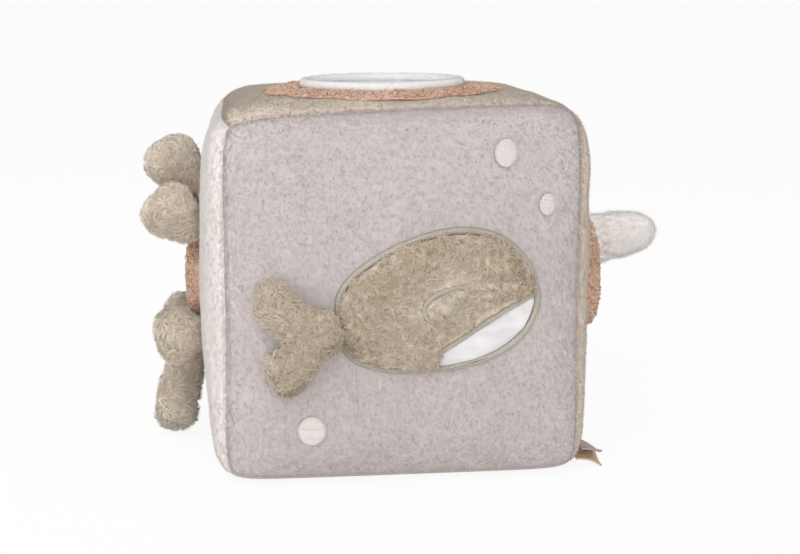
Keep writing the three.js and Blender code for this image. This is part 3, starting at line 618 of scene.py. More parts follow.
def thread_material(name, deep, pale, sheen=0.2, rough=0.5):
    """Embroidery thread: twisted rayon of 0.3 mm. Dashes of two tones along each stitch are its short glints
    and its shade, painted along the twist. The twist repeats every 0.3 mm or so and is drawn 0.5 mm long, so
    that it shows."""
    material, tree, shader, place = new_material(name)
    twist = add_node(tree, "ShaderNodeTexNoise", {"Vector": place, "Scale": 1 / 0.5} | CLOUDY).outputs["Fac"]
    # The two tones along the twist are painted glints and painted shade.
    colour = add_node(tree, "ShaderNodeValToRGB", {"Fac": twist}, [(0.3, deep), (0.7, pale)])
    set_up(tree, shader, colour.outputs["Color"], rough, (twist, 0.25, 0.08), (sheen, pale, 0.35),
           Specular_IOR_Level=0.45)
    return material


def satin_material():
    """Satin: polyester woven with long floats, which gives a smooth white face with a soft gloss. The cloudy
    light in its folds is painted into its colour by clouds of 9 mm. Its threads lie 0.1 mm apart, and a wave
    of scale 1.1 draws them 0.29 mm apart, as fine as shows."""
    material, tree, shader, place = new_material("white_satin")
    weave = add_node(tree, "ShaderNodeTexWave", {
        "Vector": place, "Scale": 1.1, "Distortion": 0.6, "Detail": 1.0}, bands_direction="Z")
    # Painted light and shade: the white is greyer and paler in clouds of 9 mm.
    cloud = add_node(tree, "ShaderNodeTexNoise", {"Vector": place, "Scale": 1 / 9.0} | CLOUDY)
    colour = add_node(tree, "ShaderNodeValToRGB", {"Fac": cloud.outputs["Fac"]},
                      [(0.3, "cecbcc"), (0.7, "dcd9da")])
    set_up(tree, shader, colour.outputs["Color"], 0.5, (weave.outputs["Fac"], 0.12, 0.05),
           (0.25, "ffffff", 0.3), Specular_IOR_Level=0.5)
    return material


def ribbon_material(name, deep, pale):
    """Ribbed ribbon: woven with a thick weft, which gives fine ribs across it and a dull gleam. The
    ribs lie about 0.35 mm apart, which a wave of scale 0.9 draws as they are."""
    material, tree, shader, place = new_material(name)
    ribs = add_node(tree, "ShaderNodeTexWave", {
        "Vector": place, "Scale": 0.9, "Distortion": 0.4, "Detail": 1.0}, bands_direction="X")
    fine = add_node(tree, "ShaderNodeTexNoise", {"Vector": place, "Scale": 1 / 0.7} | CLOUDY)
    colour = add_node(tree, "ShaderNodeValToRGB", {"Fac": fine.outputs["Fac"]}, [(0.3, deep), (0.7, pale)])
    set_up(tree, shader, colour.outputs["Color"], 0.6, (ribs.outputs["Fac"], 0.3, 0.12), (0.2, pale, 0.4))
    return material


materials.update({
    "sage_stitching": thread_material("sage_embroidery_thread", "a39c90", "c3bdb1"),
    "white_stitching": thread_material("white_embroidery_thread", "d3cbc8", "e2dcd9"),
    "white_satin": satin_material(),
    "mauve_ribbon": ribbon_material("mauve_ribbon_weave", "93827f", "ac9b98"),
    "tan_ribbon": ribbon_material("tan_ribbon_weave", "b99b79", "d2b698"),
})
print("materials:", len(materials))

# %% Film, plastic and fibre
def film_material():
    """Mirror film: polyester with a coat of aluminium, laid on foam. It gives clear reflections that
    wobble over waves of 22 mm, under a faint bluish haze in patches of 5 mm."""
    material, tree, shader, place = new_material("mirror_film")
    waves = add_node(tree, "ShaderNodeTexNoise", {"Vector": place, "Scale": 1 / 22.0} | CLOUDY)
    haze = add_node(tree, "ShaderNodeTexNoise", {"Vector": place, "Scale": 1 / 5.0} | CLOUDY)
    colour = add_node(tree, "ShaderNodeValToRGB", {"Fac": haze.outputs["Fac"]},
                      [(0.3, "bcc4cb"), (0.7, "c9d0d6")])
    set_up(tree, shader, colour.outputs["Color"], 0.09, (waves.outputs["Fac"], 0.25, 0.8), Metallic=1.0)
    return material


def plastic_material(name, deep, pale, rough=0.4):
    """Polypropylene, injection moulded: an even, slightly waxy face, with the fine grain of its mould
    (0.6 mm, so that it shows close by) and faint clouds of 12 mm where it cooled."""
    material, tree, shader, place = new_material(name)
    grain = add_node(tree, "ShaderNodeTexNoise", {"Vector": place, "Scale": 1 / 0.6} | CLOUDY)
    cloud = add_node(tree, "ShaderNodeTexNoise", {"Vector": place, "Scale": 1 / 12.0} | CLOUDY)
    colour = add_node(tree, "ShaderNodeValToRGB", {"Fac": cloud.outputs["Fac"]}, [(0.3, deep), (0.7, pale)])
    set_up(tree, shader, colour.outputs["Color"], rough, (grain.outputs["Fac"], 0.1, 0.05))
    return material


def fibre_material():
    """Polyester fibre, crimped and carded into a wad: white, matt and stringy. One fibre is 0.03 mm
    thick, so bundles of them are drawn, 1.5 mm across."""
    material, tree, shader, place = new_material("polyester_fibre_filling")
    strands = add_node(tree, "ShaderNodeTexNoise", {
        "Vector": place, "Scale": 1 / 1.5, "Detail": 4.0, "Roughness": 0.7}).outputs["Fac"]
    colour = add_node(tree, "ShaderNodeValToRGB", {"Fac": strands}, [(0.3, "e7e5df"), (0.7, "fbfaf8")])
    set_up(tree, shader, colour.outputs["Color"], 1.0, (strands, 0.6, 0.8), (0.4, "ffffff", 0.5))
    return material


materials.update({
    "mirror_film": film_material(),
    "capsule_plastic": plastic_material("capsule_plastic", "dadfe2", "e4e8ea"),
    "bead_plastic": plastic_material("bead_plastic", "c2c7cc", "cdd1d5", 0.35),
    "fibre_filling": fibre_material(),
})
print("materials:", len(materials))

# %% Dressing a piece
def dressed(obj, slot, body, *replaced, fill=None):
    """Gives a piece its body and, unless it has one, the material of its slot, and hides the CAD nodes that
    it stands for.
    """
    if not obj.data.materials:
        obj.data.materials.append(materials[slot])
    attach(obj, body)
    if replaced:
        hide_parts(*replaced)
    return obj


print("slots:", len(materials))

# %% [markdown]
# ## Pile
#
# Short plush has straight hairs that lean the way they were brushed. Teddy cloth has long curled
# strands that lie together in tufts, and looped cloth has small closed loops. Blender's hair could grow
# them, but it isn't a mesh, and the library keeps meshes. So the strands are thin closed bodies,
# scattered over the grid of the cloth that carries them. A real plush has dozens of fibres to a square
# millimetre or so, and here one thick strand stands for many.

# %% Scattering strands
def scatter(grid, normals, count, rng, keep=None, around=False):
    """Random places on a grid of points, by area: the places, their normals and one tangent."""
    if around:
        grid = np.concatenate([grid, grid[:, :1]], axis=1)
        normals = np.concatenate([normals, normals[:, :1]], axis=1)
    a, b, c, d = grid[:-1, :-1], grid[:-1, 1:], grid[1:, 1:], grid[1:, :-1]
    area = (np.linalg.norm(np.cross(b - a, c - a), axis=-1)
            + np.linalg.norm(np.cross(c - a, d - a), axis=-1)) / 2
    if keep is not None:
        area = area * keep[:area.shape[0], :area.shape[1]]
    share = np.cumsum(area.ravel())
    chosen = np.searchsorted(share, rng.random(count) * share[-1])
    i, j = np.unravel_index(np.minimum(chosen, area.size - 1), area.shape)
    s, t = rng.random(count)[:, None], rng.random(count)[:, None]

    def between(values):
        return ((values[i, j] * (1 - t) + values[i, j + 1] * t) * (1 - s)
                + (values[i + 1, j] * (1 - t) + values[i + 1, j + 1] * t) * s)

    place = between(grid)
    normal = unit(between(normals))
    tangent = unit(grid[i + 1, j] - grid[i, j])
    tangent = unit(tangent - normal * np.sum(tangent * normal, -1, keepdims=True))
    return place, normal, tangent


def tubes(paths, radii, sides=3):
    """Closed tapering tubes along many paths at once: points, faces and directions round them."""
    count, steps = paths.shape[:2]
    along = unit(np.gradient(paths, axis=1))
    guide = np.where(np.abs(along[:, :1, 2:]) < 0.8, vec(0, 0, 1), vec(1, 0, 0))
    first = unit(np.cross(along, np.broadcast_to(guide, along.shape)))
    second = np.cross(along, first)
    angles = 2 * np.pi * np.arange(sides) / sides
    ring = (first[:, :, None] * np.cos(angles)[:, None] + second[:, :, None] * np.sin(angles)[:, None])
    points = paths[:, :, None] + ring * radii[:, :, None, None]
    start = (np.arange(count) * steps * sides)[:, None, None]
    s = (np.arange(steps - 1) * sides)[None, :, None]
    k = np.arange(sides)[None, None, :]
    after = (k + 1) % sides
    near = start + s
    quads = np.stack([near + k, near + after, near + sides + after, near + sides + k], -1)
    base = start[:, 0] + np.arange(sides)[None, ::-1]
    tip = start[:, 0] + (steps - 1) * sides + np.arange(sides)[None, :]
    return points.reshape(-1, 3), [quads.reshape(-1, 4), base, tip], ring.reshape(-1, 3)


def laid(name, points, faces, normal, own, softness, slot, body, material=None):
    """Makes a pile's mesh. It is shaded partly as the cloth below, so that it reads as one soft skin."""
    below = np.repeat(normal, len(own) // len(normal), axis=0)
    obj = build(name, points, faces, materials[material or slot], body, turn=False,
                shading=unit(below * softness + own * (1 - softness)))


print("strands in a quick run: 1 of", THINNING)

# %% [markdown]
# ## Short brushed nap
#
# Each hair is a pyramid of three sides with its foot in the cloth. Its lean follows the brushing of the
# panel, plus broad and small waves, because hairs that all lean alike look like grass, and hairs with no
# order look like gravel.

# %% Hairs
NAP_SOFTNESS = 0.92
NAP_GRAIN = vec(0.8, 0.8, 1.5)
BROAD_WAVES, SMALL_WAVES = 13.0, 2.0
UPRIGHT = 0.6


def no_lean(root):
    return 0 * root


def hairs(name, grid, normals, count, seed, length, width, lean_at, slot, body, material=None, keep=None,
          around=False):
    """Straight pointed hairs that lean the way they were brushed, in small waves."""
    count //= THINNING
    rng = np.random.default_rng(seed)
    root, normal, _ = scatter(grid, normals, count, rng, keep, around)
    broad = np.stack([smooth_noise(root, BROAD_WAVES, seed + k) for k in range(3)], -1)
    small = np.stack([smooth_noise(root * NAP_GRAIN, SMALL_WAVES, seed + 5 + k) for k in range(3)], -1)
    lean = lean_at(root) + broad * 0.1 + small * 0.2 + rng.normal(0, 0.1, root.shape)
    lean -= normal * np.sum(lean * normal, -1, keepdims=True)
    way = unit(normal * UPRIGHT + lean)
    first = unit(np.cross(way, vec(0.31, 0.17, 0.93)))
    second = np.cross(way, first)
    tall = length * (0.65 + 0.6 * rng.random((count, 1)))
    angles = 2 * np.pi * np.arange(3) / 3
    ring = first[:, None] * np.cos(angles)[:, None] + second[:, None] * np.sin(angles)[:, None]
    foot = (root - normal * 0.25)[:, None] + ring * width / 2
    points = np.concatenate([foot, (root + way * tall)[:, None]], 1).reshape(-1, 3)
    start = 4 * np.arange(count)[:, None]
    faces = np.concatenate([start + np.array(f) for f in ([0, 1, 3], [1, 2, 3], [2, 0, 3], [2, 1, 0])])
    own = np.concatenate([ring, way[:, None]], 1).reshape(-1, 3)
    laid(name, points, [faces], normal, own, NAP_SOFTNESS, slot, body, material)


print("a hair has 4 points and 4 faces")

# %% [markdown]
# ## Loops
#
# Looped cloth is knitted with slack yarn that stands up in small loops. A full ring for each would need
# many faces. Two thirds of a turn, sunk in the cloth at both ends, reads the same from outside.

# %% Loops of yarn
LOOP_SOFTNESS, LOOP_TURN, LOOP_STEPS = 0.3, 4.2, 6


def curls(name, grid, normals, count, seed, height, loop, width, slot, body, keep=None, around=False):
    """Small loops that rise from the cloth and turn back over themselves."""
    count //= THINNING
    rng = np.random.default_rng(seed)
    root, normal, tangent = scatter(grid, normals, count, rng, keep, around)
    across = np.cross(normal, tangent)
    heading = rng.random((count, 1)) * 2 * np.pi
    side = tangent * np.cos(heading) + across * np.sin(heading)
    other = np.cross(normal, side)
    size = loop * (0.65 + 0.7 * rng.random((count, 1)))
    tall = height * (0.5 + 0.8 * rng.random((count, 1)))
    drift = rng.normal(0, 0.5, (count, 1)) * size
    path = []
    for t in np.linspace(0, 1, LOOP_STEPS):
        angle = LOOP_TURN * t
        path.append(root - normal * 0.2 + side * size * (1 - np.cos(angle)) + other * drift * t
                    + normal * (size * 0.8 * np.sin(angle) * (1 - 0.3 * t) + tall * min(1.0, 1.6 * t)))
    radii = width / 2 * np.linspace(1.0, 0.6, LOOP_STEPS)[None, :] * (0.8 + 0.4 * rng.random((count, 1)))
    points, faces, own = tubes(np.stack(path, 1), radii)
    laid(name, points, faces, normal, own, LOOP_SOFTNESS, slot, body)


print(f"a loop turns {math.degrees(LOOP_TURN):.0f} degrees in {LOOP_STEPS - 1} steps")

# %% [markdown]
# ## Teddy strands
#
# Teddy cloth is knitted, then tumbled until its long pile curls and felts into tufts. So a strand takes
# its direction from a noise as wide as a tuft, and its bend from another, and lies low over the cloth.

# %% Wisps
WISP_SOFTNESS, WISP_STEPS, TUFT = 0.6, 5, 3.6


def wisps(name, grid, normals, count, seed, length, width, lift, slot, body, material=None, keep=None,
          around=False, tuft=TUFT):
    """Long fine curled strands. Neighbours lie the same way, as the tufts of teddy cloth do."""
    count //= THINNING
    rng = np.random.default_rng(seed)
    root, normal, _ = scatter(grid, normals, count, rng, keep, around)
    flow = np.stack([smooth_noise(root, tuft, seed + k) for k in range(3)], -1)
    flow = flow + rng.normal(0, 0.13, root.shape)
    flow = unit(flow - normal * np.sum(flow * normal, -1, keepdims=True))
    side = np.cross(normal, flow)
    reach = length * (0.55 + 0.8 * rng.random((count, 1)))
    bend = 0.01 + rng.normal(0, 0.45, (count, 1)) + 2.6 * smooth_noise(root, tuft * 1.4, seed + 7)[:, None]
    rise = lift * (0.5 + 0.9 * rng.random((count, 1)))
    phase = rng.random((count, 1)) * 2 * np.pi
    path = []
    for t in np.linspace(0, 1, WISP_STEPS):
        arch = math.sin(math.pi * (0.06 + 0.68 * t)) + 0.25 * np.sin(6 * t + phase) * t
        path.append(root - normal * 0.2 + flow * reach * np.sin(bend * t) / bend
                    + side * reach * (1 - np.cos(bend * t)) / bend + normal * rise * arch)
    radii = width / 2 * np.linspace(1.0, 0.35, WISP_STEPS)[None, :] * (0.75 + 0.5 * rng.random((count, 1)))
    points, faces, own = tubes(np.stack(path, 1), radii)
    laid(name, points, faces, normal, own, WISP_SOFTNESS, slot, body, material)


print(f"a strand is a closed tube of {WISP_STEPS - 1} steps in tufts {TUFT} mm wide")

# %% [markdown]
# ## The six panels
#
# Each panel is a square of plush, 2.5 mm thick with its pile. It could be one skin for the whole block,
# but the seams show as fine lines between six pieces, and each has its own colour. So each is a closed
# sheet of its own, with the swelling from the simulation, small lumps of the filling behind it, and the
# nap on its face. Hair is thicker along the seams, where the real pile is pushed up by the stitches.

# %% The panels' cloth and brushing
PLUSH = 2.5
PANEL_LINES = 150
SEAM_CLEAR = 0.06  # between the sheets at a seam
EDGE_CROWDING = 1.1
HAIR_COUNT, HAIR_LENGTH, HAIR_WIDTH = 49000, 1.1, 0.27
BRUSHING = 0.55
PANEL_SLOTS = {"front": "mauve_plush", "back": "cream_plush", "left": "cream_plush",
               "right": "taupe_plush", "top": "taupe_plush", "bottom": "mauve_plush"}
PANEL_BRUSHED = {"front": (0.1, 0, -1), "back": (0, 0, -1), "left": (0, 0.2, -1),
                 "right": (0, 0, -1), "top": (0.2, -1, 0), "bottom": (0, 1, 0)}
PANEL_PUSH = {"front": (0.3, 1.6)}  # how much the hair leans out over the seams, across and up
BUBBLES = [(0.51, 0.66, 8.3), (0.73, 0.43, 6.2), (-0.49, -0.67, 10.4)]  # shares of HALF, and width


def clear_of_dots(name, side, points):
    """No pile over the embroidered dots of the front, so that their stitches stay in view."""
    share = np.ones(points.shape[:-1])
    for across, up, diameter in BUBBLES if name == "front" else ():
        middle = face_point(side, np.array(across * HALF), np.array(up * HALF), 0.0)
        away = np.hypot(points[..., 0] - middle[0], points[..., 2] - middle[2])
        share *= away > diameter / 2 + 0.4
    return share


def nap_lean(side, brushed, strength):
    """How the nap leans at each root: the way it was brushed, and outwards over the seams."""
    def lean(root):
        place = (root - MIDDLE) / HALF
        at = np.stack([place @ side["across"], place @ side["up"]], -1)
        push = np.clip((np.abs(at) - 0.90) / 0.07, 0, 1) * np.sign(at) * strength
        return np.asarray(brushed, float) * BRUSHING + push[:, :1] * side["across"] + push[:, 1:] * side["up"]
    return lean


def panel_lines():
    """Places across a panel from seam to seam, closer together near the seams."""
    limit = 1 - SEAM_CLEAR / (math.sqrt(2) * SEAM_REACH)
    return limit * np.sin(EDGE_CROWDING * np.linspace(-1, 1, PANEL_LINES)) / math.sin(EDGE_CROWDING)


steps = np.diff(panel_lines()) * HALF
print(f"lines of the cloth lie {steps.max():.2f} mm apart in the middle and {steps.min():.2f} mm at a seam")

# %% The six panels
v, u = np.meshgrid(panel_lines(), panel_lines(), indexing="ij")
edge = np.maximum(np.abs(u), np.abs(v))
for number, (name, side) in enumerate(SIDES.items()):
    outer, inner = (cube_point(side, u, v, depth) + swelling(side, u, v) for depth in (0.0, PLUSH))
    normals = grid_normals(outer, outer - MIDDLE)
    lumps = smooth_noise(outer, 17.0, 5) * 0.45 + smooth_noise(outer, 7.0, 6) * 0.12
    nap = smooth_noise(outer, 1.6, 7) * 0.05 + smooth_noise(outer, 0.9, 8) * 0.04
    calm = 1 - edge ** 8
    height = lumps * calm + nap
    if name == "bottom":
        height = nap * 0.2 - 0.1
    outer = outer + normals * height[..., None]
    outer[..., 2] = np.maximum(outer[..., 2], 0)
    inner = inner + normals * (lumps * calm)[..., None]
    inner[..., 2] = np.maximum(inner[..., 2], 0.4)
    points, faces = sheet_body(outer, inner)
    slot = PANEL_SLOTS[name]
    dressed(build(f"{name}_plush", points, faces), slot, "block", f"{name}_panel", fill=0.85)
    if name != "bottom":
        keep = (outer[..., 2] > 1.2) * (1 + 1.6 * (edge > 0.965)) * clear_of_dots(name, side, outer)
        lean = nap_lean(side, PANEL_BRUSHED[name], PANEL_PUSH.get(name, (1.5, 1.5)))
        hairs(f"{name}_nap", outer, normals, HAIR_COUNT, 40 + number, HAIR_LENGTH, HAIR_WIDTH, lean, slot,
              "block", keep=keep)
    print(f"{name} panel: {len(points)} points")

# %% [markdown]
# ## Padded rounds
#
# The peach pads, the embroidered dots and the fin are padded forms sewn on a panel. Each could be a
# squashed sphere, but that would float or sink, because the panel is curved. Here rings of points run
# from a middle out to any edge line, at heights above the panel's own surface, so that each follows it.

# %% Rounds on a panel
def round_rings(side, at, edge_at, spokes, shares, height_at):
    """Rings of points on a panel round a middle point, from the inside out."""
    angle = 2 * np.pi * np.arange(spokes) / spokes
    reach = np.stack(edge_at(angle), -1)
    share = np.asarray(shares, float)[:, None]
    across = at[0] + share * reach[None, :, 0]
    up = at[1] + share * reach[None, :, 1]
    return face_point(side, across, up, height_at(share + 0 * across, angle[None, :] + 0 * across))


def circle(diameter):
    """The edge line of a round piece."""
    return lambda angle: (diameter / 2 * np.cos(angle), diameter / 2 * np.sin(angle))


def scalloped(radius, depth, count, wider):
    """An edge line of round scallops, wider across than up."""
    def edge(angle):
        reach = radius - depth * (1 - np.abs(np.sin(count * angle / 2)))
        return reach * np.cos(angle) * wider, reach * np.sin(angle)
    return edge


def ring_shares(rings, first=0.04):
    """How far out each ring lies, closer together towards the edge."""
    return np.sin(np.linspace(first, 1, rings) * np.pi / 2)


def pad_body(side, at, edge_at, spokes, rings, height_at, lump_at=None, base=SEWN_GAP):
    """A closed pad: its points and faces, and the grid and normals of its upper face."""
    shares = ring_shares(rings)
    above = round_rings(side, at, edge_at, spokes, shares, height_at)
    below = round_rings(side, at, edge_at, spokes, shares, lambda share, angle: base + 0 * share)
    normals = grid_normals(above, np.broadcast_to(side["out"], above.shape), around=True)
    if lump_at is not None:
        above = above + normals * lump_at(above, shares[:, None])[..., None]
    points, faces = ring_body(np.concatenate([below, above[::-1]]), below[0].mean(0), above[0].mean(0))
    return points, faces, above, normals


print("the outer rings of a pad of 40 lie at", np.round(ring_shares(40)[-3:], 3))

# %% [markdown]
# ## The peach pads
#
# Looped cloth over a thin wad: a scalloped pad under the mirror, and a plain round one on each side. The
# loops above give the knots of yarn that catch the light, and these lumps give the furrows between them.
# The top pad lies flat under the mirror, so that the film stays smooth.

# %% Lumps of looped cloth
def boucle_lumps(seed, size=3.0, tall=1.0):
    """Looped cloth: round knots of yarn with furrows between them, calmer at the very edge."""
    def lump(points, share):
        knots = clumps(points, size, seed) * tall + smooth_noise(points, size * 3, seed + 3) * 0.35 * tall
        return (knots + smooth_noise(points, 0.9, seed + 5) * 0.15) * np.clip((1.02 - share) / 0.08, 0.15, 1)
    return lump


print(f"furrows cover {(clumps(sample, 3.0, 21) < 0.3).mean():.0%} of the looped cloth")

# %% The peach pads
PAD_AT = (-2.5, -12.9)  # the middle of the mirror and its pad, across and up the top panel
PAD_RINGS, PAD_SCALLOPS = 40, 12
UNDER_MIRROR, LOOPS_FROM = 0.68, 0.74  # shares of the pad's radius
LOOP_RISE, LOOP_SIZE, YARN = 0.55, 0.9, 0.5


def beside_mirror(share):
    """0 under the mirror and 1 on the part of the top pad round it."""
    return eased(np.clip((share - UNDER_MIRROR) / 0.1, 0, 1))


def top_pad_height(share, angle):
    """A low pad that ripples towards its scallops and falls to the panel at its edge."""
    fall = np.sqrt(np.clip(1 - share ** 9, 0, 1))
    ripple = 0.35 * np.cos(PAD_SCALLOPS * angle) * share ** 3
    return SEWN_GAP + 0.4 + (0.3 + (0.6 + ripple) * beside_mirror(share)) * fall


def side_pad_height(puff):
    """A dome that falls to the panel at its edge."""
    return lambda share, angle: SEWN_GAP + 1.6 + puff * np.sqrt(np.clip(1 - share ** 4, 0, 1))


pads = [
    ("top_pad", "top", PAD_AT, scalloped(43.6, 3.0, PAD_SCALLOPS, 1.07), 240, top_pad_height, 4000, 21),
    ("left_pad", "left", (0.0, -4.5), circle(34.0), 150, side_pad_height(3.0), 1500, 31),
    ("right_pad", "right", (-18.0, -3.0), circle(42.0), 180, side_pad_height(5.6), 2200, 41),
]
for name, face, at, edge_at, spokes, height_at, count, seed in pads:
    lumps = boucle_lumps(seed)
    keep = np.ones((PAD_RINGS, spokes))
    low = 1.0
    if face == "top":
        lumps = lambda points, share, knots=lumps: knots(points, share) * beside_mirror(share) * 0.7
        keep[ring_shares(PAD_RINGS) < LOOPS_FROM] = 0
        low = 0.7
    points, faces, above, normals = pad_body(SIDES[face], at, edge_at, spokes, PAD_RINGS, height_at, lumps)
    dressed(build(f"{name}_boucle", points, faces), "peach_boucle", "block", name, fill=0.5)
    curls(f"{name}_loops", above, normals, count, seed, LOOP_RISE * low, LOOP_SIZE * low, YARN,
          "peach_boucle", "block", keep=keep, around=True)
print("peach pads:", len(pads))

# %% [markdown]
# ## The mirror
#
# A toy's mirror is a disc of film on foam, held by a tube of cloth that is sewn round its edge. The film
# is a thin pad with faint waves, so that what it reflects wobbles. The rim could be a plain torus, but
# a sewn tube gathers a little all round, and has a slanting seam where its two ends meet.

# %% The mirror's film
RIM_RADIUS, TUBE = 30.4, 3.4
FILM, FILM_TUCK = 0.8, 1.2
ON_PAD = SEWN_GAP + 0.8 + SEWN_GAP


def film_height(share, angle):
    return ON_PAD + FILM + 0 * share


side = SIDES["top"]
points, faces, above, normals = pad_body(
    side, PAD_AT, circle(2 * RIM_RADIUS - FILM_TUCK), 180, 30, film_height,
    lambda p, share: smooth_noise(p, 16.0, 61) * 0.14 * (1 - share ** 4), base=ON_PAD)
dressed(build("mirror_sheet", points, faces), "mirror_film", "block", "mirror_film")
print(f"film: {2 * RIM_RADIUS - FILM_TUCK:.1f} mm across, curved by {np.ptp(above[..., 2]):.1f} mm")

# %% The mirror's piped rim
RIM_STEPS, RIM_AROUND = 600, 20
JOIN_ANGLE, JOIN_SLANT, JOIN_DEPTH = math.radians(-93.4), 1.9, 0.35
turn = 2 * np.pi * np.arange(RIM_STEPS) / RIM_STEPS
tube = 2 * np.pi * np.arange(RIM_AROUND) / RIM_AROUND
gathers = 0.10 * smooth_noise(np.stack([np.cos(turn) * 14, np.sin(turn) * 14, 0 * turn], -1), 1.0, 62)
from_join = (turn[:, None] - 2 * np.pi - JOIN_ANGLE) * RIM_RADIUS - JOIN_SLANT * (np.sin(tube)[None, :] + 0.5)
radius = TUBE / 2 + 0.15 + gathers[:, None] - JOIN_DEPTH * np.exp(-(from_join / 0.45) ** 2)
out = RIM_RADIUS + radius * np.cos(tube)[None, :]
rings = face_point(side, PAD_AT[0] + out * np.cos(turn)[:, None], PAD_AT[1] + out * np.sin(turn)[:, None],
                   ON_PAD + TUBE / 2 + radius * np.sin(tube)[None, :])
points, faces = ring_body(rings)
dressed(build("mirror_piping", points, faces, materials["white_velour"]), "white_plush", "block",
        "mirror_rim", fill=0.9)
rim_normals = grid_normals(rings, rings - rings.mean(1, keepdims=True), around=True)
closed_rings, closed_normals = (np.concatenate([grid, grid[:1]]) for grid in (rings, rim_normals))
hairs("mirror_piping_nap", closed_rings, closed_normals, 9000, 63, 0.55, 0.2, no_lean, "white_plush", "block",
      material="white_velour", around=True)
print(f"rim: a tube of {TUBE} mm on a circle of {2 * RIM_RADIUS} mm")

# %% [markdown]
# ## Stuffed pieces
#
# The limbs and the white tab are little cushions: two pieces of cloth sewn together, turned and filled,
# then caught in a seam of their own. Each could be an ellipsoid, but a sewn piece bends, tapers and has
# a rim. So each is a tube on a curved middle line, rounded at its root, full in its middle and closed in
# a round tip. A seam runs round it between its two cloths, and the simulation swells the cloth and
# puckers it along that seam.

# %% The form of a stuffed piece
ROOT_GAP, ROOT_WIDTH, ROOT_THICKNESS = 0.5, 0.8, 0.7  # a gap to the panel, and shares of the full size
TAB_PROFILE = [(0.2, 0.98), (0.5, 0.97), (0.74, 0.88), (0.88, 0.72), (0.955, 0.47), (0.988, 0.25), (1.0, 0.0)]
SWELL_ROWS, SWELL_AROUND = 22, 28
CUT_SIZE = 0.97  # the cloth is cut a little small and swells to size
FINE = 400
SEAM_INSET = 0.02  # radians between the cloth and its seam


def limb_profile(shape):
    """Fullness along a limb: a little slimmer near its root, with a round tip like a fist."""
    root = ROOT_THICKNESS * shape["thickness"] / 2
    start = 1 - 0.72 * shape["thickness"] / 2 / (shape["length"] - root)
    tip = [(start + (1 - start) * t, (1 - t ** 2.4) ** (1 / 2.4)) for t in (0, 0.35, 0.6, 0.78, 0.9, 0.97, 1)]
    return [(start * 0.45, 0.93)] + tip


def lengths_along(points):
    """How far along a line each of its points lies."""
    return np.concatenate([[0], np.cumsum(np.linalg.norm(np.diff(points, axis=0), axis=1))])


def at_lengths(points, wanted):
    """Places at the wanted lengths along a line of points."""
    length = lengths_along(points)
    return np.stack([np.interp(wanted, length, values) for values in points.T], -1)


def spaced(points, count):
    """Points at even distances along an open smooth curve through the given points."""
    fine = spline(np.asarray(points, float), np.linspace(0, len(points) - 1, FINE))
    return at_lengths(fine, np.linspace(0, lengths_along(fine)[-1], count))


def stations(shape, profile, rows):
    """Lengths along the piece, half widths and half thicknesses at even steps over its skin."""
    radius = ROOT_THICKNESS * shape["thickness"] / 2
    points = []
    for angle in np.radians([3, 20, 45, 70]):
        points.append([radius * (1 - math.cos(angle)), shape["width"] / 2 * ROOT_WIDTH * math.sin(angle),
                       radius * math.sin(angle)])
    for way, fullness in profile:
        points.append([radius + (shape["length"] - radius) * way, shape["width"] / 2 * fullness,
                       shape["thickness"] / 2 * fullness])
    points[-1][1] = points[-1][2] = 0.12
    return spaced(points, rows)


def middle_line(shape, places):
    """The middle line of a stuffed piece: its distances out and up and its lean at each place."""
    fine = np.linspace(0, shape["length"] + 1, FINE)
    lean = np.radians(shape["rootLean"] + (shape["tipLean"] - shape["rootLean"]) * fine / shape["length"])
    out, rise = (np.concatenate([[0], np.cumsum((part[1:] + part[:-1]) / 2 * (fine[1] - fine[0]))])
                 for part in (np.cos(lean), np.sin(lean)))
    return [np.interp(places, fine, values) for values in (out, rise, lean)]


def stuffed_points(shape, axes, hinge, rows, angles, profile, slim=1.0):
    """A grid over the skin of a stuffed piece: rows along it and angles round it."""
    at, half_width, half_thickness = stations(shape, profile, rows).T
    out, rise, lean = middle_line(shape, at)
    out0, rise0, _ = middle_line(shape, np.array([ROOT_THICKNESS * shape["thickness"] / 2]))
    height = slim * half_thickness[:, None] * np.sin(angles)[None, :]
    breadth = slim * half_width[:, None] * np.cos(angles)[None, :]
    return (hinge + ((out - out0)[:, None] - height * np.sin(lean)[:, None])[..., None] * axes["out"]
            + ((rise - rise0)[:, None] + height * np.cos(lean)[:, None])[..., None] * axes["rise"]
            + breadth[..., None] * axes["breadth"])


bent = middle_line({"length": 40, "rootLean": -54, "tipLean": -92}, 40)
print(f"40 mm that bend from 54 to 92 degrees down end {bent[0]:.1f} mm out and {-bent[1]:.1f} mm down")

# %% Swelling a stuffed piece
def swell_piece(shape, axes, hinge, seam_angles, profile):
    """The simulated movement of a stuffed piece, as a grid of rows and angles round it."""
    angles = 2 * np.pi * np.arange(SWELL_AROUND) / SWELL_AROUND
    grid = stuffed_points(shape, axes, hinge, SWELL_ROWS, angles, profile, CUT_SIZE)
    points, faces = ring_body(grid, grid[0].mean(0), grid[-1].mean(0))
    turn = np.abs((angles[:, None] - np.asarray(seam_angles)[None, :] + np.pi) % (2 * np.pi) - np.pi).min(1)
    on_seam = np.tile((turn < 0.6 * 2 * np.pi / SWELL_AROUND).astype(float) * 0.8, SWELL_ROWS)
    row = np.repeat(np.arange(SWELL_ROWS), SWELL_AROUND)
    pinned = np.maximum(on_seam, (row < 3) * 1.0)
    near = np.tile(np.clip(1.3 - turn / 0.5, 0, 1), SWELL_ROWS)
    ends = [1.0, 0.0]
    offset = swell(points, faces, np.append(pinned, ends), np.append(near, ends), 6.0, 0.01, 0.10, 1.6)
    return offset[:-2].reshape(SWELL_ROWS, SWELL_AROUND, 3)


def moved_by(field, rows, angles):
    """The simulated movement at finer rows and angles."""
    wrapped = np.concatenate([field[:, -2:], field, field[:, :3]], axis=1)
    row_places = np.linspace(0, SWELL_ROWS - 1, rows)
    column_places = 2 + (np.asarray(angles) % (2 * np.pi)) / (2 * np.pi) * SWELL_AROUND
    return resampled(wrapped, row_places, column_places)


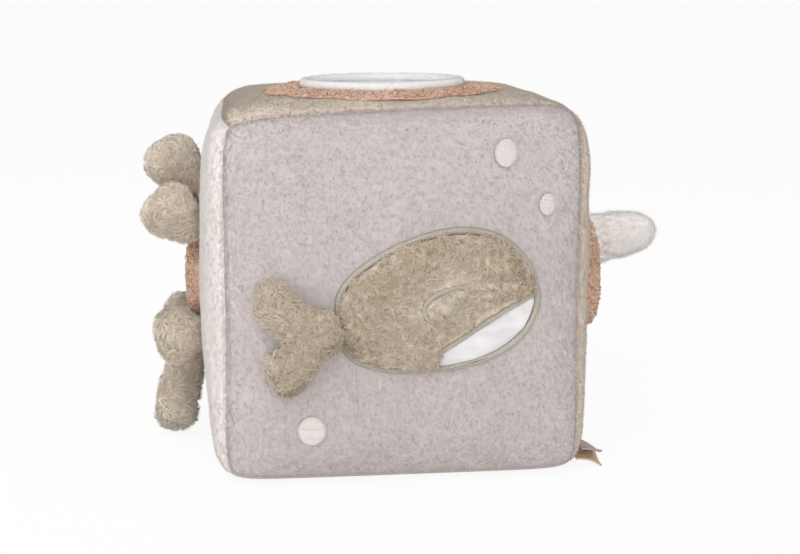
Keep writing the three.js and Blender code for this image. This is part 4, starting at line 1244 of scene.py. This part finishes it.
def stuffed_half(name, shape, axes, hinge, span, field, profile, rows, columns, lump_at, slot, body, node,
                 cloth=None):
    """One cloth side of a stuffed piece, closed by a flat inner face along its seam."""
    angles = np.linspace(span[0] + SEAM_INSET, span[1] - SEAM_INSET, columns)
    grid = stuffed_points(shape, axes, hinge, rows, angles, profile, CUT_SIZE) + moved_by(field, rows, angles)
    normals = grid_normals(grid, grid - stuffed_points(shape, axes, hinge, rows, angles, profile, 0.2))
    from_seam = np.minimum(np.arange(columns), np.arange(columns)[::-1]) / columns
    groove = np.exp(-(from_seam / 0.035) ** 2)[None, :]
    ends = np.clip(np.minimum(np.arange(rows), np.arange(rows)[::-1]) / 3.0, 0, 1)[:, None]
    grid = grid + normals * ((lump_at(grid) * (1 - 0.8 * groove) - 0.8 * groove) * ends)[..., None]
    points, faces = ring_body(grid, grid[0].mean(0), grid[-1].mean(0))
    dressed(build(name, points, faces, cloth), slot, body, node, fill=0.75)
    return grid, normals


def teddy_lumps(seed, size, tall):
    """Teddy cloth below its strands: tufts of pile on broad soft lumps."""
    def lump(points):
        return (clumps(points, size, seed) * tall * 0.7
                + smooth_noise(points, size * 2.2, seed + 3) * 0.4 * tall
                + smooth_noise(points, 0.8, seed + 5) * 0.12)
    return lump


def hinge_place(side, along, up, shape):
    """Where a stuffed piece's round root is centred, as in the CAD part, without the swelling."""
    kept = swellings.pop(id(side), None)
    place = face_point(side, along, up, ROOT_GAP + ROOT_THICKNESS * shape["thickness"] / 2)
    if kept is not None:
        swellings[id(side)] = kept
    return place


print(f"teddy lumps stand up to {teddy_lumps(1, 3.2, 1.2)(sample).max():.1f} mm")

# %% [markdown]
# ## The limbs on the left
#
# Five stuffed limbs stand on the left panel round a peach pad: two at the top that reach up, two at the
# bottom, and a long one that hangs. Each has teddy on the side that is turned out, in a copy of the fish's
# teddy painted paler so that it looks lit, and looped peach cloth on the other, and the seam between them
# is turned round the limb, as in the photo. Strands grow on both cloths: long wisps, and a short fluff
# between them that softens the outline.

# %% Limbs
LIMBS = {
    "upper_back": dict(along=-17, up=35.3, length=24, width=18.5, thickness=20, rootLean=34, tipLean=58),
    "upper_front": dict(along=17, up=21.8, length=21.5, width=19, thickness=20, rootLean=34, tipLean=46),
    "lower_front": dict(along=18, up=-23.5, length=18.5, width=19, thickness=19.5, rootLean=2, tipLean=-14),
    "lower_back": dict(along=-18, up=-25.5, length=17.5, width=18, thickness=18, rootLean=8, tipLean=4),
    "hanging": dict(along=0, up=-33, length=40, width=14.2, thickness=14.5, rootLean=-54, tipLean=-92),
}
LIMB_SEAM, LIMB_SEAM_TURN, LIMB_ROWS = 0.72, math.radians(48), 70
left = SIDES["left"]
left_axes = {"out": left["out"], "rise": left["up"], "breadth": left["across"]}
for number, (name, limb) in enumerate(LIMBS.items()):
    hinge = hinge_place(left, limb["along"], limb["up"], limb)
    facing = -1 if limb["up"] < 0 else 1
    seam, turn = facing * math.asin(LIMB_SEAM), facing * LIMB_SEAM_TURN
    above = (seam + turn, math.pi - seam + turn)
    below = (math.pi - seam + turn, 2 * math.pi + seam + turn)
    profile = limb_profile(limb)
    field = swell_piece(limb, left_axes, hinge, above, profile)
    body = f"limb_{name}"
    outer, under = (above, below) if facing < 0 else (below, above)
    # The outer half is drawn in the teddy's copy that is painted paler, as painted light.
    halves = (("outer", outer, "taupe_teddy", "painted_lit_teddy", 70, 4600),
              ("under", under, "peach_boucle", "peach_boucle", 50, 2200))
    for half, span, slot, cloth, columns, strands in halves:
        seed = 100 + 10 * number + (half == "under")
        grid, normals = stuffed_half(f"{body}_{half}_cloth", limb, left_axes, hinge, span, field, profile,
                                     LIMB_ROWS, columns, teddy_lumps(seed, 3.2, 1.2), slot, body,
                                     f"{body}_{half}", materials[cloth])
        wisps(f"{body}_{half}_wisps", grid, normals, strands, seed, 4.0, 0.36, 1.0, slot, body, cloth)
        hairs(f"{body}_{half}_fluff", grid, normals, strands, seed + 5, 1.8, 0.15, no_lean, slot, body, cloth)
print("limbs:", len(LIMBS))

# %% [markdown]
# ## The white tab on the right
#
# A flat stuffed tab of brushed white cloth stands out from the right panel, like the ear of a toy. It is
# built as the limbs are, but it is broad, straight and soft, so it has folds that fade towards its tip
# and a fine nap instead of strands.

# %% The white tab on the right
TAB = dict(length=50, width=21.5, thickness=13, rootLean=0, tipLean=0)
TILT = math.radians(8)
right = SIDES["right"]
tab_axes = {"out": vec(math.cos(TILT), 0, math.sin(TILT)), "rise": right["across"],
            "breadth": vec(-math.sin(TILT), 0, math.cos(TILT))}
hinge = hinge_place(right, 29, 0.5, TAB)
field = swell_piece(TAB, tab_axes, hinge, (0.0, math.pi), TAB_PROFILE)


def tab_folds(points):
    """Soft folds across the tab that fade towards its tip."""
    out, across = ((points - hinge) @ tab_axes[axis] for axis in ("out", "breadth"))
    fold = np.sin((out - 0.25 * across) * 0.62 + 1.4 * smooth_noise(points, 11.0, 72))
    return (0.55 * fold * np.exp(-out / 30) + smooth_noise(points, 6.0, 71) * 0.3
            + smooth_noise(points, 1.6, 73) * 0.08)


for half, span in (("front", (math.pi, 2 * math.pi)), ("back", (0.0, math.pi))):
    grid, normals = stuffed_half(f"tab_{half}_cloth", TAB, tab_axes, hinge, span, field, TAB_PROFILE, 90, 60,
                                 tab_folds, "white_plush", "stuffed_tab", f"tab_{half}")
    hairs(f"tab_{half}_nap", grid, normals, 8000, 75 + (half == "back"), 1.7, 0.15,
          lambda root: 0 * root + vec(0.3, 0, -0.2), "white_plush", "stuffed_tab")
print(f"white tab: {TAB['length']} mm long, {TAB['width']} mm broad and {TAB['thickness']} mm thick")

# %% [markdown]
# ## The fish on the front
#
# A plain fish is sewn on the front panel: a teddy body and a satin belly, cut out and laid on the plush,
# with their raw edges covered by satin stitching. A small fin lies on the body, a stuffed tail is sewn
# on only at its root, and white bubbles are embroidered round it. It could be drawn in the panel's
# material, but each cloth has its own height and edge, so each is a padded strip between two lines.
#
# The fish's lines are functions of one angle, from 0 at the nose to half a turn at the root of the tail,
# so cloth, strands and stitching all meet on them.

# %% The fish's lines
FISH_LENGTH, FISH_BACK, FISH_BELLY, FISH_ROOT = 36.0, 25.0, 21.0, 6.0
FISH_LEAD, FISH_DROP, FISH_LEAN = 12.0, 3.0, math.radians(9)
STITCH, STITCH_TALL = 2.3, 1.0
INSET = STITCH / 2 - 0.1  # the cloth ends under the stitching
TEDDY_EDGE, TEDDY_DOME = 1.2, 2.2
TEDDY_TOP = SEWN_GAP + TEDDY_EDGE + TEDDY_DOME + SEWN_GAP
BELLY_START, BELLY_END = 0.17, 1.66
FIN_LENGTH, FIN_WIDTH, FIN_LEAN = 17.0, 10.0, math.radians(35)
front = SIDES["front"]


def fish_place(along, up):
    """Turns lengths along and up the fish into places across and up the front panel."""
    across = np.asarray(along) * math.cos(FISH_LEAN) - np.asarray(up) * math.sin(FISH_LEAN)
    rise = np.asarray(along) * math.sin(FISH_LEAN) + np.asarray(up) * math.cos(FISH_LEAN)
    return FISH_LEAD + across, rise - FISH_DROP


def fish_edge(angle, height):
    """The height of the fish's edge, fuller towards the nose, with a stub where the tail is sewn on."""
    fullness = 1 + 0.16 * np.cos(angle)
    root = ((1 - np.cos(angle)) / 2) ** 3
    return height * np.sin(angle) * fullness + np.sign(height) * FISH_ROOT * root


def fish_upper(angle):
    return fish_edge(angle, FISH_BACK)


def fish_lower(angle):
    return fish_edge(angle, -FISH_BELLY)


def belly_line(angle):
    """The seam between the teddy and the satin, which falls from the nose to the lower edge."""
    return fish_lower(angle) * (0.08 + 0.92 * np.minimum(angle / 2.0, 1) ** 2)


def seam_blend(angle):
    """0 along the belly and 1 behind it, where the teddy reaches down to the outline."""
    return eased(np.clip((angle - BELLY_END) / 0.06, 0, 1))


print(f"fish: {2 * FISH_LENGTH} mm long and {FISH_BACK + FISH_BELLY} mm high")

# %% Padded strips and the clear places on them
def sewn_strip(low, high, lines, height_at, lump_at=None):
    """A closed padded strip on the front panel between a low and a high edge."""
    share = np.linspace(0, 1, lines)[None, :]
    across = low[0][:, None] + (high[0] - low[0])[:, None] * share
    up = low[1][:, None] + (high[1] - low[1])[:, None] * share
    along = np.linspace(-1, 1, len(low[0]))[:, None]
    crossways = 2 * share - 1
    dome = np.sqrt(np.maximum(0, (1 - along ** 4) * (1 - crossways ** 4)))
    above = face_point(front, across, up, height_at(dome))
    below = face_point(front, across, up, SEWN_GAP + 0 * dome)
    normals = grid_normals(above, np.broadcast_to(front["out"], above.shape))
    if lump_at is not None:
        above = above + normals * (lump_at(above) * np.clip(dome * 1.6, 0.1, 1))[..., None]
    points, faces = sheet_body(above, below)
    return points, faces, above, normals


fin_at = fish_place(FISH_LENGTH * 0.055, FISH_BACK * 0.12)
eye_at = fish_place(FISH_LENGTH * 0.67, FISH_BACK * 0.2)


def clear_of_fin(points):
    """1 on the open teddy and 0 under the fin and the eye, where no strands grow."""
    fin, eye = (face_point(front, np.array(across), np.array(up), 0.0) for across, up in (fin_at, eye_at))
    off = np.stack([points[..., 0] - fin[0], points[..., 2] - fin[2]], -1)
    along = off[..., 0] * math.cos(FIN_LEAN) + off[..., 1] * math.sin(FIN_LEAN)
    up = off[..., 1] * math.cos(FIN_LEAN) - off[..., 0] * math.sin(FIN_LEAN)
    from_eye = np.hypot(points[..., 0] - eye[0], points[..., 2] - eye[2])
    inside = (along / (FIN_LENGTH / 2 + 1.4)) ** 2 + (up / (FIN_WIDTH / 2 + 1.4)) ** 2 < 1
    return 1.0 - (inside | (from_eye < 2.8))


print("the fin is at", np.round(fin_at, 1), "and the eye at", np.round(eye_at, 1), "on the front panel")

# %% The teddy body
BODY_LINES = 80
angle = np.sort(np.concatenate([np.linspace(BELLY_START, math.pi, 110),
                                np.linspace(BELLY_END, BELLY_END + 0.06, 7)]))
along = (FISH_LENGTH - INSET) * np.cos(angle)
down = belly_line(angle) * (1 - seam_blend(angle)) + fish_lower(angle) * seam_blend(angle)
low, high = fish_place(along, down + INSET), fish_place(along, fish_upper(angle) - INSET)
points, faces, above, normals = sewn_strip(
    low, high, BODY_LINES, lambda dome: SEWN_GAP + TEDDY_EDGE + TEDDY_DOME * dome, teddy_lumps(201, 3.4, 1.5))
dressed(build("fish_body_teddy", points, faces), "taupe_teddy", "block", "fish_body", fill=0.4)
clear_of_seam = 1.0 - (np.linspace(0, 1, BODY_LINES)[None, :] < 0.07) * (angle < BELLY_END)[:, None]
wisps("fish_body_wisps", above, normals, 7500, 202, 3.0, 0.36, 0.95, "taupe_teddy", "block",
      keep=clear_of_fin(above) * clear_of_seam, tuft=3.0)
print("fish body:", len(points), "points of cloth")

# %% The satin belly
angle = np.linspace(BELLY_START, BELLY_END, 76)
along = (FISH_LENGTH - INSET) * np.cos(angle)
low, high = fish_place(along, fish_lower(angle) + INSET), fish_place(along, belly_line(angle) - INSET)


def satin_folds(points):
    """Soft folds that run across the belly, where the satin is drawn in by its stitches."""
    return (smooth_noise(points, (9.0, 9.0, 3.0), 211) * 0.5
            + smooth_noise(points, (4.0, 4.0, 1.6), 212) * 0.18)


points, faces, above, normals = sewn_strip(low, high, 50, lambda dome: SEWN_GAP + 0.4 + 1.1 * dome,
                                           satin_folds)
dressed(build("fish_belly_satin", points, faces), "white_satin", "block", "fish_belly", fill=0.2)
print("fish belly:", len(points), "points of cloth")

# %% [markdown]
# ## Satin stitching
#
# An embroidery machine lays threads side by side across a line, over a padded core, until they cover the
# raw edges of the cloth. A ribbed tube would look like cord. Here each stitch is its own low arch of
# thread, with a slant and a little unevenness in its reach and height, over a core that fills the gaps.
# The stitches of the real block lie closer than 0.36 mm, and this is as fine as shows at its size.

# %% Satin stitches
THREAD_PITCH, THREAD_RADIUS, THREAD_SIDES = 0.36, 0.21, 5
CORE_SECTION = np.array([[-0.9, 0.0], [-0.7, 0.55], [-0.3, 0.8], [0.3, 0.8], [0.7, 0.55], [0.9, 0.0]])


def along_line(points, spacing, closed):
    """Places at even distances along a line, with the direction of the line at each."""
    points = np.asarray(points, float)
    if closed:
        points = np.concatenate([points, points[:1]])
    total = lengths_along(points)[-1]
    count = max(4, int(round(total / spacing)))
    wanted = np.linspace(0, total, count + 1)[:-1] if closed else np.linspace(0, total, count)
    place = at_lengths(points, wanted)
    heading = np.roll(place, -1, 0) - np.roll(place, 1, 0) if closed else np.gradient(place, axis=0)
    return place, unit(heading)


def satin_stitches(name, outline, tall, base, node, seed, closed=True):
    """Threads laid side by side across a line, over a low padded core."""
    slot = "sage_stitching"
    rng = np.random.default_rng(seed)
    place, heading = along_line(outline, THREAD_PITCH, closed)
    slant = unit(np.stack([-heading[:, 1], heading[:, 0]], -1) + heading * 0.25)
    shares = np.linspace(-1, 1, 7)
    reach = STITCH / 2 * (1 + rng.normal(0, 0.04, (len(place), 1)))
    flat = place[:, None] + slant[:, None] * (shares[None, :] * reach)[..., None]
    uneven = 1 + rng.normal(0, 0.05, (len(place), 1))
    arch = base + tall * np.sqrt(np.clip(1 - shares ** 2 * 0.96, 0, 1)) * uneven
    threads = face_point(front, flat[..., 0], flat[..., 1], arch - 0.12)
    points, faces, _ = tubes(threads, np.full(threads.shape[:2], THREAD_RADIUS), THREAD_SIDES)
    dressed(build(name, points, faces, turn=False), slot, "block", node)
    print(f"{name}: {len(place)} stitches")
    fine, way = along_line(outline, 0.8, closed)
    normal = np.stack([-way[:, 1], way[:, 0]], -1)
    core = fine[:, None] + normal[:, None] * (CORE_SECTION[:, 0] * STITCH / 2)[None, :, None]
    rings = face_point(front, core[..., 0], core[..., 1], base + CORE_SECTION[None, :, 1] * tall)
    points, faces = ring_body(rings) if closed else ring_body(rings, rings[0].mean(0), rings[-1].mean(0))
    dressed(build(f"{name}_core", points, faces), slot, "block")

# %% The fish's outline and seam
angle = np.linspace(0, math.pi, 90)
upper, lower = (np.stack(fish_place(FISH_LENGTH * np.cos(angle), line(angle)), -1)
                for line in (fish_upper, fish_lower))
fish_outline = np.concatenate([upper, lower[::-1][:-1]])
satin_stitches("fish_outline_stitching", fish_outline, STITCH_TALL + 0.25, SEWN_GAP, "fish_outline", 221)
angle = np.linspace(BELLY_START, BELLY_END, 40)
seam_line = np.stack(fish_place((FISH_LENGTH - INSET) * np.cos(angle), belly_line(angle)), -1)
corner = (FISH_LENGTH - INSET) * math.cos(BELLY_END)
ends = [fish_place(corner - 1.2, belly_line(BELLY_END) - 1.0),
        fish_place(corner - 1.5, fish_lower(BELLY_END) + 1.2)]
seam_line = np.concatenate([seam_line[:-1], ends])
satin_stitches("fish_belly_stitching", seam_line, STITCH_TALL + 1.1, SEWN_GAP, "fish_belly_seam", 222,
               closed=False)

# %% Embroidered dots: the bubbles and the eye
def embroidered_dot(name, at, diameter, base, node, slot, seed):
    """A round dot of level threads over a low dome."""
    rng = np.random.default_rng(seed)
    rows = np.arange(-diameter / 2 + 0.15, diameter / 2 - 0.1, THREAD_PITCH)
    paths = []
    shares = np.linspace(-1, 1, 9)
    for row in rows:
        half = math.sqrt(max((diameter / 2) ** 2 - row ** 2, 0.02)) * (1 + rng.normal(0, 0.02))
        across = at[0] + half * shares
        up = at[1] + row + 0 * shares
        distance = np.minimum(np.sqrt((half * shares) ** 2 + row ** 2) / (diameter / 2), 1)
        rise = base + 0.45 + 0.75 * np.sqrt(np.clip(1 - distance ** 3, 0, 1)) + rng.normal(0, 0.04)
        paths.append(face_point(front, across, up, rise))
    radii = np.full((len(rows), len(shares)), THREAD_RADIUS + 0.005)
    points, faces, _ = tubes(np.stack(paths), radii, THREAD_SIDES)
    dressed(build(name, points, faces, turn=False), slot, "block", node)

    def core_height(share, angle):
        return base + 0.35 + 0.7 * np.sqrt(np.clip(1 - share ** 3, 0, 1))

    points, faces, _, _ = pad_body(front, at, circle(diameter), 40, 8, core_height, base=base)
    dressed(build(f"{name}_core", points, faces), slot, "block")
    print(f"{name}: {len(rows)} rows of thread")


for number, (across, up, diameter) in enumerate(BUBBLES):
    embroidered_dot(f"bubble_{number + 1}_threads", (across * HALF, up * HALF), diameter, SEWN_GAP,
                    f"bubble_{number + 1}", "white_stitching", 230 + number)
embroidered_dot("fish_eye_threads", eye_at, 3.6, TEDDY_TOP, "fish_eye", "sage_stitching", 235)

# %% The fin
def fin_edge(inset):
    """The fin's edge line, a leaf that is broad behind, set in by the given width."""
    def edge(angle):
        along = (FIN_LENGTH / 2 - inset) * np.cos(angle)
        taper = (1 - 0.45 * np.cos(angle)) * 0.83
        up = FIN_WIDTH / 2 * np.sin(angle) * taper - inset * np.sin(angle)
        return (along * math.cos(FIN_LEAN) - up * math.sin(FIN_LEAN),
                along * math.sin(FIN_LEAN) + up * math.cos(FIN_LEAN))
    return edge


points, faces, above, normals = pad_body(
    front, fin_at, fin_edge(INSET), 70, 20,
    lambda share, angle: TEDDY_TOP + 1.0 + 1.2 * np.sqrt(np.clip(1 - share ** 4, 0, 1)),
    lambda p, share: teddy_lumps(241, 2.2, 0.8)(p) * np.clip((1.02 - share) / 0.1, 0.1, 1), base=TEDDY_TOP)
dressed(build("fish_fin_teddy", points, faces), "taupe_teddy", "block", "fish_fin", fill=0.3)
wisps("fish_fin_wisps", above, normals, 420, 242, 2.2, 0.36, 0.6, "taupe_teddy", "block", around=True)
angle = 2 * np.pi * np.arange(80) / 80
reach = np.stack(fin_edge(0)(angle), -1)
satin_stitches("fish_fin_stitching", np.asarray(fin_at) + reach, STITCH_TALL + 0.2, TEDDY_TOP,
               "fish_fin_outline", 243)

# %% [markdown]
# ## The stuffed tail
#
# The tail is a small flat cushion of two teddy faces, with two lobes and a notch, sewn to the panel only
# at its root, so that a baby can lift it. A few points give its outline, a smooth closed curve runs
# through them, and rings from its heart to that curve carry the dome of each face. A valley from the
# notch inwards shows where the two lobes are drawn together.

# %% The tail's outline
TAIL_LENGTH, TAIL_SPREAD, TAIL_ROOT, TAIL_NOTCH = 26.0, 41.0, 10.0, 7.0
TAIL_LIFT, TAIL_REACH = 2.7, 1.4
TAIL_SHARES = [(0, -1, "root"), (0.3, -0.44, "lobe"), (0.56, -0.87, "lobe"), (0.84, -1, "lobe"),
               (1, -0.74, "lobe"), (0.99, -0.38, "lobe"), (1, 0, "notch"), (0.99, 0.38, "lobe"),
               (1, 0.74, "lobe"), (0.84, 1, "lobe"), (0.56, 0.87, "lobe"), (0.3, 0.44, "lobe"),
               (0, 1, "root")]
tail_points = np.array([[back * (TAIL_LENGTH - (TAIL_NOTCH if part == "notch" else 0)),
                         up * (TAIL_ROOT if part == "root" else TAIL_SPREAD) / 2]
                        for back, up, part in TAIL_SHARES])


def closed_curve(points, count):
    """Points at even distances round a smooth closed curve."""
    places = np.linspace(0, len(points), 1200, endpoint=False)
    i = places.astype(int)
    t = (places - i)[:, None]
    a, b, c, d = (points[(i + k) % len(points)] for k in (-1, 0, 1, 2))
    fine = curve_between(a, b, c, d, t)
    place, _ = along_line(fine, np.linalg.norm(np.diff(fine, axis=0), axis=1).sum() / count, True)
    return place[:count]


TAIL_ALONG = -FISH_LENGTH - STITCH / 2 - ROOT_GAP - TAIL_REACH
tail_edge = closed_curve(tail_points, 150)
tail_heart = np.array([TAIL_LENGTH / 2, 0.0])
print(f"tail: {np.ptp(tail_edge[:, 0]):.1f} mm long and {np.ptp(tail_edge[:, 1]):.1f} mm across its lobes")

# %% The tail's two faces
def tail_point(share, puff, lift):
    """A ring of the tail: share runs from its heart to its edge, and puff is its fullness."""
    place = tail_heart + share[..., None, None] * (tail_edge - tail_heart)
    valley = 1 - 0.45 * np.exp(-(place[..., 1] / (TAIL_SPREAD * 0.17)) ** 2) * (place[..., 0] / TAIL_LENGTH)
    height = TAIL_LIFT + lift + puff * valley * np.sqrt(np.clip(1 - share[..., None] ** 4, 0, 1))
    across, up = fish_place(TAIL_ALONG - place[..., 0] + TAIL_REACH, place[..., 1])
    return face_point(front, across, up, height)


shares = ring_shares(34, 0.05)
calm = np.clip((1.0 - shares) / 0.1, 0, 1)[:, None]
for half, puff, lift, seed, strong, strands in (("front", 6.0, 0.1, 251, 1.0, 4800),
                                                ("back", -1.6, -0.1, 252, 0.35, 900)):
    dome = tail_point(shares, puff, lift)
    flat = tail_point(shares, 0.0, lift)
    normals = grid_normals(dome, np.broadcast_to(front["out"] * np.sign(puff), dome.shape), around=True)
    dome = dome + normals * (teddy_lumps(seed, 3.4, 1.4 * strong)(dome) * calm)[..., None]
    points, faces = ring_body(np.concatenate([dome, flat[::-1]]), dome[0].mean(0), flat[0].mean(0))
    dressed(build(f"fish_tail_{half}_cloth", points, faces), "taupe_teddy", "fish_tail", f"fish_tail_{half}",
            fill=0.8)
    wisps(f"fish_tail_{half}_wisps", dome, normals, strands, seed + 4, 3.6 * strong, 0.36, 0.95 * strong,
          "taupe_teddy", "fish_tail", around=True)
print("tail: front and back cloth")

# %% [markdown]
# ## The ribbon tabs
#
# Two short ends of ribbon are caught in the lower right seam, to pull and to chew. A ribbon is a flat
# sheet with a firm selvedge along both edges. Cloth simulation would erase one so thin, so it is
# modelled directly: a bent middle line, a width that twists along it, a slight cup, and fine waves.

# %% Ribbons
RIBBON_WIDTH, RIBBON_THICKNESS = 10.0, 0.8
RIBBONS = [("mauve", -0.88, 8.6, -14, -34, (-5, 14)), ("tan", -0.96, 10.5, 4, -40, (-9, -14))]
for name, height_share, length, root_lean, tip_lean, twists in RIBBONS:
    root = cube_point(right, np.array(-0.8), np.array(height_share), -ROOT_GAP)
    shape = {"length": length, "rootLean": root_lean, "tipLean": tip_lean}
    at = np.linspace(0, length, 40)
    out, rise, lean = middle_line(shape, at)
    turn = np.radians(np.interp(at, [0, length], twists))
    across = np.linspace(-1, 1, 24)
    breadth = np.stack([0 * turn, np.cos(turn), -np.sin(turn)], -1)
    line = root + np.stack([out, 0 * out, rise], -1)
    normal = np.stack([-np.sin(lean), 0 * lean, np.cos(lean)], -1)
    middle = line[:, None] + breadth[:, None] * (across * RIBBON_WIDTH / 2)[None, :, None]
    curve = 0.5 * (at[:, None] / length) * across[None, :] ** 2
    wave = smooth_noise(middle, 5.0, 261) * 0.12
    selvedge = 0.10 * (np.abs(across) > 0.86)[None, :]
    cloth = RIBBON_THICKNESS * 0.4 + selvedge
    top = middle + normal[:, None] * (curve + wave + cloth)[..., None]
    bottom = middle + normal[:, None] * (curve + wave - cloth)[..., None]
    top[..., 2] = np.maximum(top[..., 2], 0.5)
    bottom[..., 2] = np.maximum(bottom[..., 2], 0.1)
    points, faces = sheet_body(top, bottom)
    dressed(build(f"{name}_ribbon_tab", points, faces), f"{name}_ribbon", f"{name}_tab", f"ribbon_{name}")
    print(f"{name} ribbon: {RIBBON_WIDTH} x {length} mm shows")

# %% [markdown]
# ## The filling and the rattle
#
# The block is filled with polyester fibre round a plastic rattle, and none of that shows from outside. The
# filling keeps the shape of its two CAD solids, because they already fit the panels and the rattle. Each
# is made finer, and its outer skin is pressed in by noise, so that it is a loose wad and not a
# moulding. The rattle is rigid, so its CAD solids stay and only get their material.

# %% The filling
for name in ("filling_front", "filling_back"):
    wad = bpy.data.objects.new(f"{name}_fibre", nodes[name].data.copy())
    bpy.context.scene.collection.objects.link(wad)
    wad.data.materials.clear()
    wad.data.materials.append(materials["fibre_filling"])
    for modifier_name, kind in (("weld", "WELD"), ("finer", "SUBSURF")):
        modifier = wad.modifiers.new(modifier_name, kind)
        if kind == "SUBSURF":
            modifier.subdivision_type = "SIMPLE"
            modifier.levels = modifier.render_levels = 2
    evaluated = wad.evaluated_get(bpy.context.evaluated_depsgraph_get())
    fine = bpy.data.meshes.new_from_object(evaluated)
    wad.modifiers.clear()
    wad.data = fine
    co = np.zeros(len(fine.vertices) * 3, np.float32)
    fine.vertices.foreach_get("co", co)
    co = co.reshape(-1, 3) / MM
    out = unit(co - MIDDLE)
    deep = 0.25 + 0.35 * (smooth_noise(co, 4.0, 271) + 1)
    surface = np.linalg.norm(co - MIDDLE, axis=1) > 40  # the skin, and not the pocket of the rattle
    co = co - out * (deep * surface)[:, None]
    fine.vertices.foreach_set("co", (co * MM).astype(np.float32).ravel())
    fine.update()
    dressed(wad, "fibre_filling", "block", name, fill=0.7)
    print(f"{name}: {len(co)} points")

# %% The rattle
for name in nodes:
    if name.startswith("rattle_"):
        slot = "capsule_plastic" if "capsule" in name else "bead_plastic"
        nodes[name].data.materials.clear()
        nodes[name].data.materials.append(materials[slot])
        print(f"{name}: {slot.replace('_', ' ')}")

# %% [markdown]
# ## Floor and light
#
# The block stands in plain studio light on a pale floor. In the picture the ground is white, and a
# brighter lamp would get there only by bleaching the block. So the floor and the world look white just
# to rays that come from the camera, from a mirror or through glass, and the light that falls on the block
# stays at a plain level. A part of the floor's own shading is kept, so that it shows the shadow.
#
# The light is soft, because pile looks harsh in hard light: one large lamp in front and above, a weak one
# at the left, and one low in front that fills the shade under the limbs.

# %% Floor and world
FLOOR_HALF, FLOOR_DROP, FLOOR_WHITENESS, WORLD_LIGHT = 200000.0, 0.05, 0.91, 0.64


def seen_directly(tree):
    """1 for rays from the camera, from a mirror or through glass, and 0 for rays that light things."""
    rays = add_node(tree, "ShaderNodeLightPath").outputs
    seen = rays["Is Camera Ray"]
    for other in ("Is Glossy Ray", "Is Transmission Ray"):
        seen = add_node(tree, "ShaderNodeMath", {0: seen, 1: rays[other]}, operation="MAXIMUM").outputs[0]
    return seen


floor_material = bpy.data.materials.new("pale_floor")
tree = empty_tree(floor_material)
diffuse = add_node(tree, "ShaderNodeBsdfDiffuse", {"Color": linear("fbfaf9")})
white = add_node(tree, "ShaderNodeEmission", {"Color": (1, 1, 1, 1), "Strength": 1.0})
share = add_node(tree, "ShaderNodeMath", {0: seen_directly(tree), 1: FLOOR_WHITENESS}, operation="MULTIPLY")
mix = add_node(tree, "ShaderNodeMixShader", {0: share.outputs[0], 1: diffuse.outputs[0], 2: white.outputs[0]})
add_node(tree, "ShaderNodeOutputMaterial", {"Surface": mix.outputs[0]})
corners = FLOOR_HALF * np.array([[-1, -1, 0], [1, -1, 0], [1, 1, 0], [-1, 1, 0]]) - vec(0, 0, FLOOR_DROP)
floor = build("floor", corners, [np.array([[0, 1, 2, 3]])], floor_material, smooth=False, turn=False)

world = bpy.data.worlds.new("studio")
bpy.context.scene.world = world
tree = empty_tree(world)
soft, white = (add_node(tree, "ShaderNodeBackground", {"Color": (1, 1, 1, 1), "Strength": strength})
               for strength in (WORLD_LIGHT, 1.0))
mix = add_node(tree, "ShaderNodeMixShader", {0: seen_directly(tree), 1: soft.outputs[0], 2: white.outputs[0]})
add_node(tree, "ShaderNodeOutputWorld", {"Surface": mix.outputs[0]})
print(f"floor: {FLOOR_WHITENESS:.0%} white where it is seen directly")

# %% Lamps
LAMPS_AIM = Vector((0, 0, 0.07))
LAMPS = [("key_softbox", (-0.3, -0.95, 1.3), 0.9, 7.4),  # place and size in metres, and watts
         ("left_softbox", (-1.2, -0.35, 0.35), 0.7, 3.6),
         ("fill_softbox", (0.2, -1.4, 0.35), 0.8, 5.8)]
for name, place, size, watts in LAMPS:
    data = bpy.data.lights.new(name, "AREA")
    data.shape = "RECTANGLE"
    data.size = data.size_y = size
    data.energy = watts
    lamp = bpy.data.objects.new(name, data)
    bpy.context.scene.collection.objects.link(lamp)
    lamp.location = place
    lamp.rotation_euler = (LAMPS_AIM - Vector(place)).to_track_quat("-Z", "Y").to_euler()
    print(f"{name}: {watts} W")

# %% [markdown]
# ## Camera
#
# The photo was taken from a little above and nearly straight on. Its focal length, the place of its middle
# and the camera's turn and rise come from the block's corners and the mirror's rim in the photo, fitted
# to the same points of this model. A small shift keeps the framing of the photo.

# %% Camera
IMAGE_WIDTH, IMAGE_HEIGHT, SENSOR = 800, 554, 36.0
FOCAL_PIXELS, CAMERA_AWAY, CAMERA_AIM = 1332.5, 550.0, 71.0
CAMERA_TURN, CAMERA_RISE = math.radians(-6.06), math.radians(11.09)
PRINCIPAL = (385.0, 261.3)
data = bpy.data.cameras.new("camera")
camera = bpy.data.objects.new("camera", data)
bpy.context.scene.collection.objects.link(camera)
data.sensor_width = SENSOR
data.lens = FOCAL_PIXELS * SENSOR / IMAGE_WIDTH
data.shift_x = (IMAGE_WIDTH / 2 - PRINCIPAL[0]) / IMAGE_WIDTH
data.shift_y = (PRINCIPAL[1] - IMAGE_HEIGHT / 2) / IMAGE_WIDTH
data.clip_start, data.clip_end = 0.01, 1000.0
camera.location = (CAMERA_AWAY * MM * math.cos(CAMERA_RISE) * math.sin(CAMERA_TURN),
                   -CAMERA_AWAY * MM * math.cos(CAMERA_RISE) * math.cos(CAMERA_TURN),
                   (CAMERA_AIM + CAMERA_AWAY * math.sin(CAMERA_RISE)) * MM)
camera.rotation_euler = (math.pi / 2 - CAMERA_RISE, 0, CAMERA_TURN)
bpy.context.scene.camera = camera
bpy.context.scene.view_settings.view_transform = "Standard"
print(f"camera: {data.lens:.1f} mm lens, {CAMERA_AWAY:.0f} mm away")
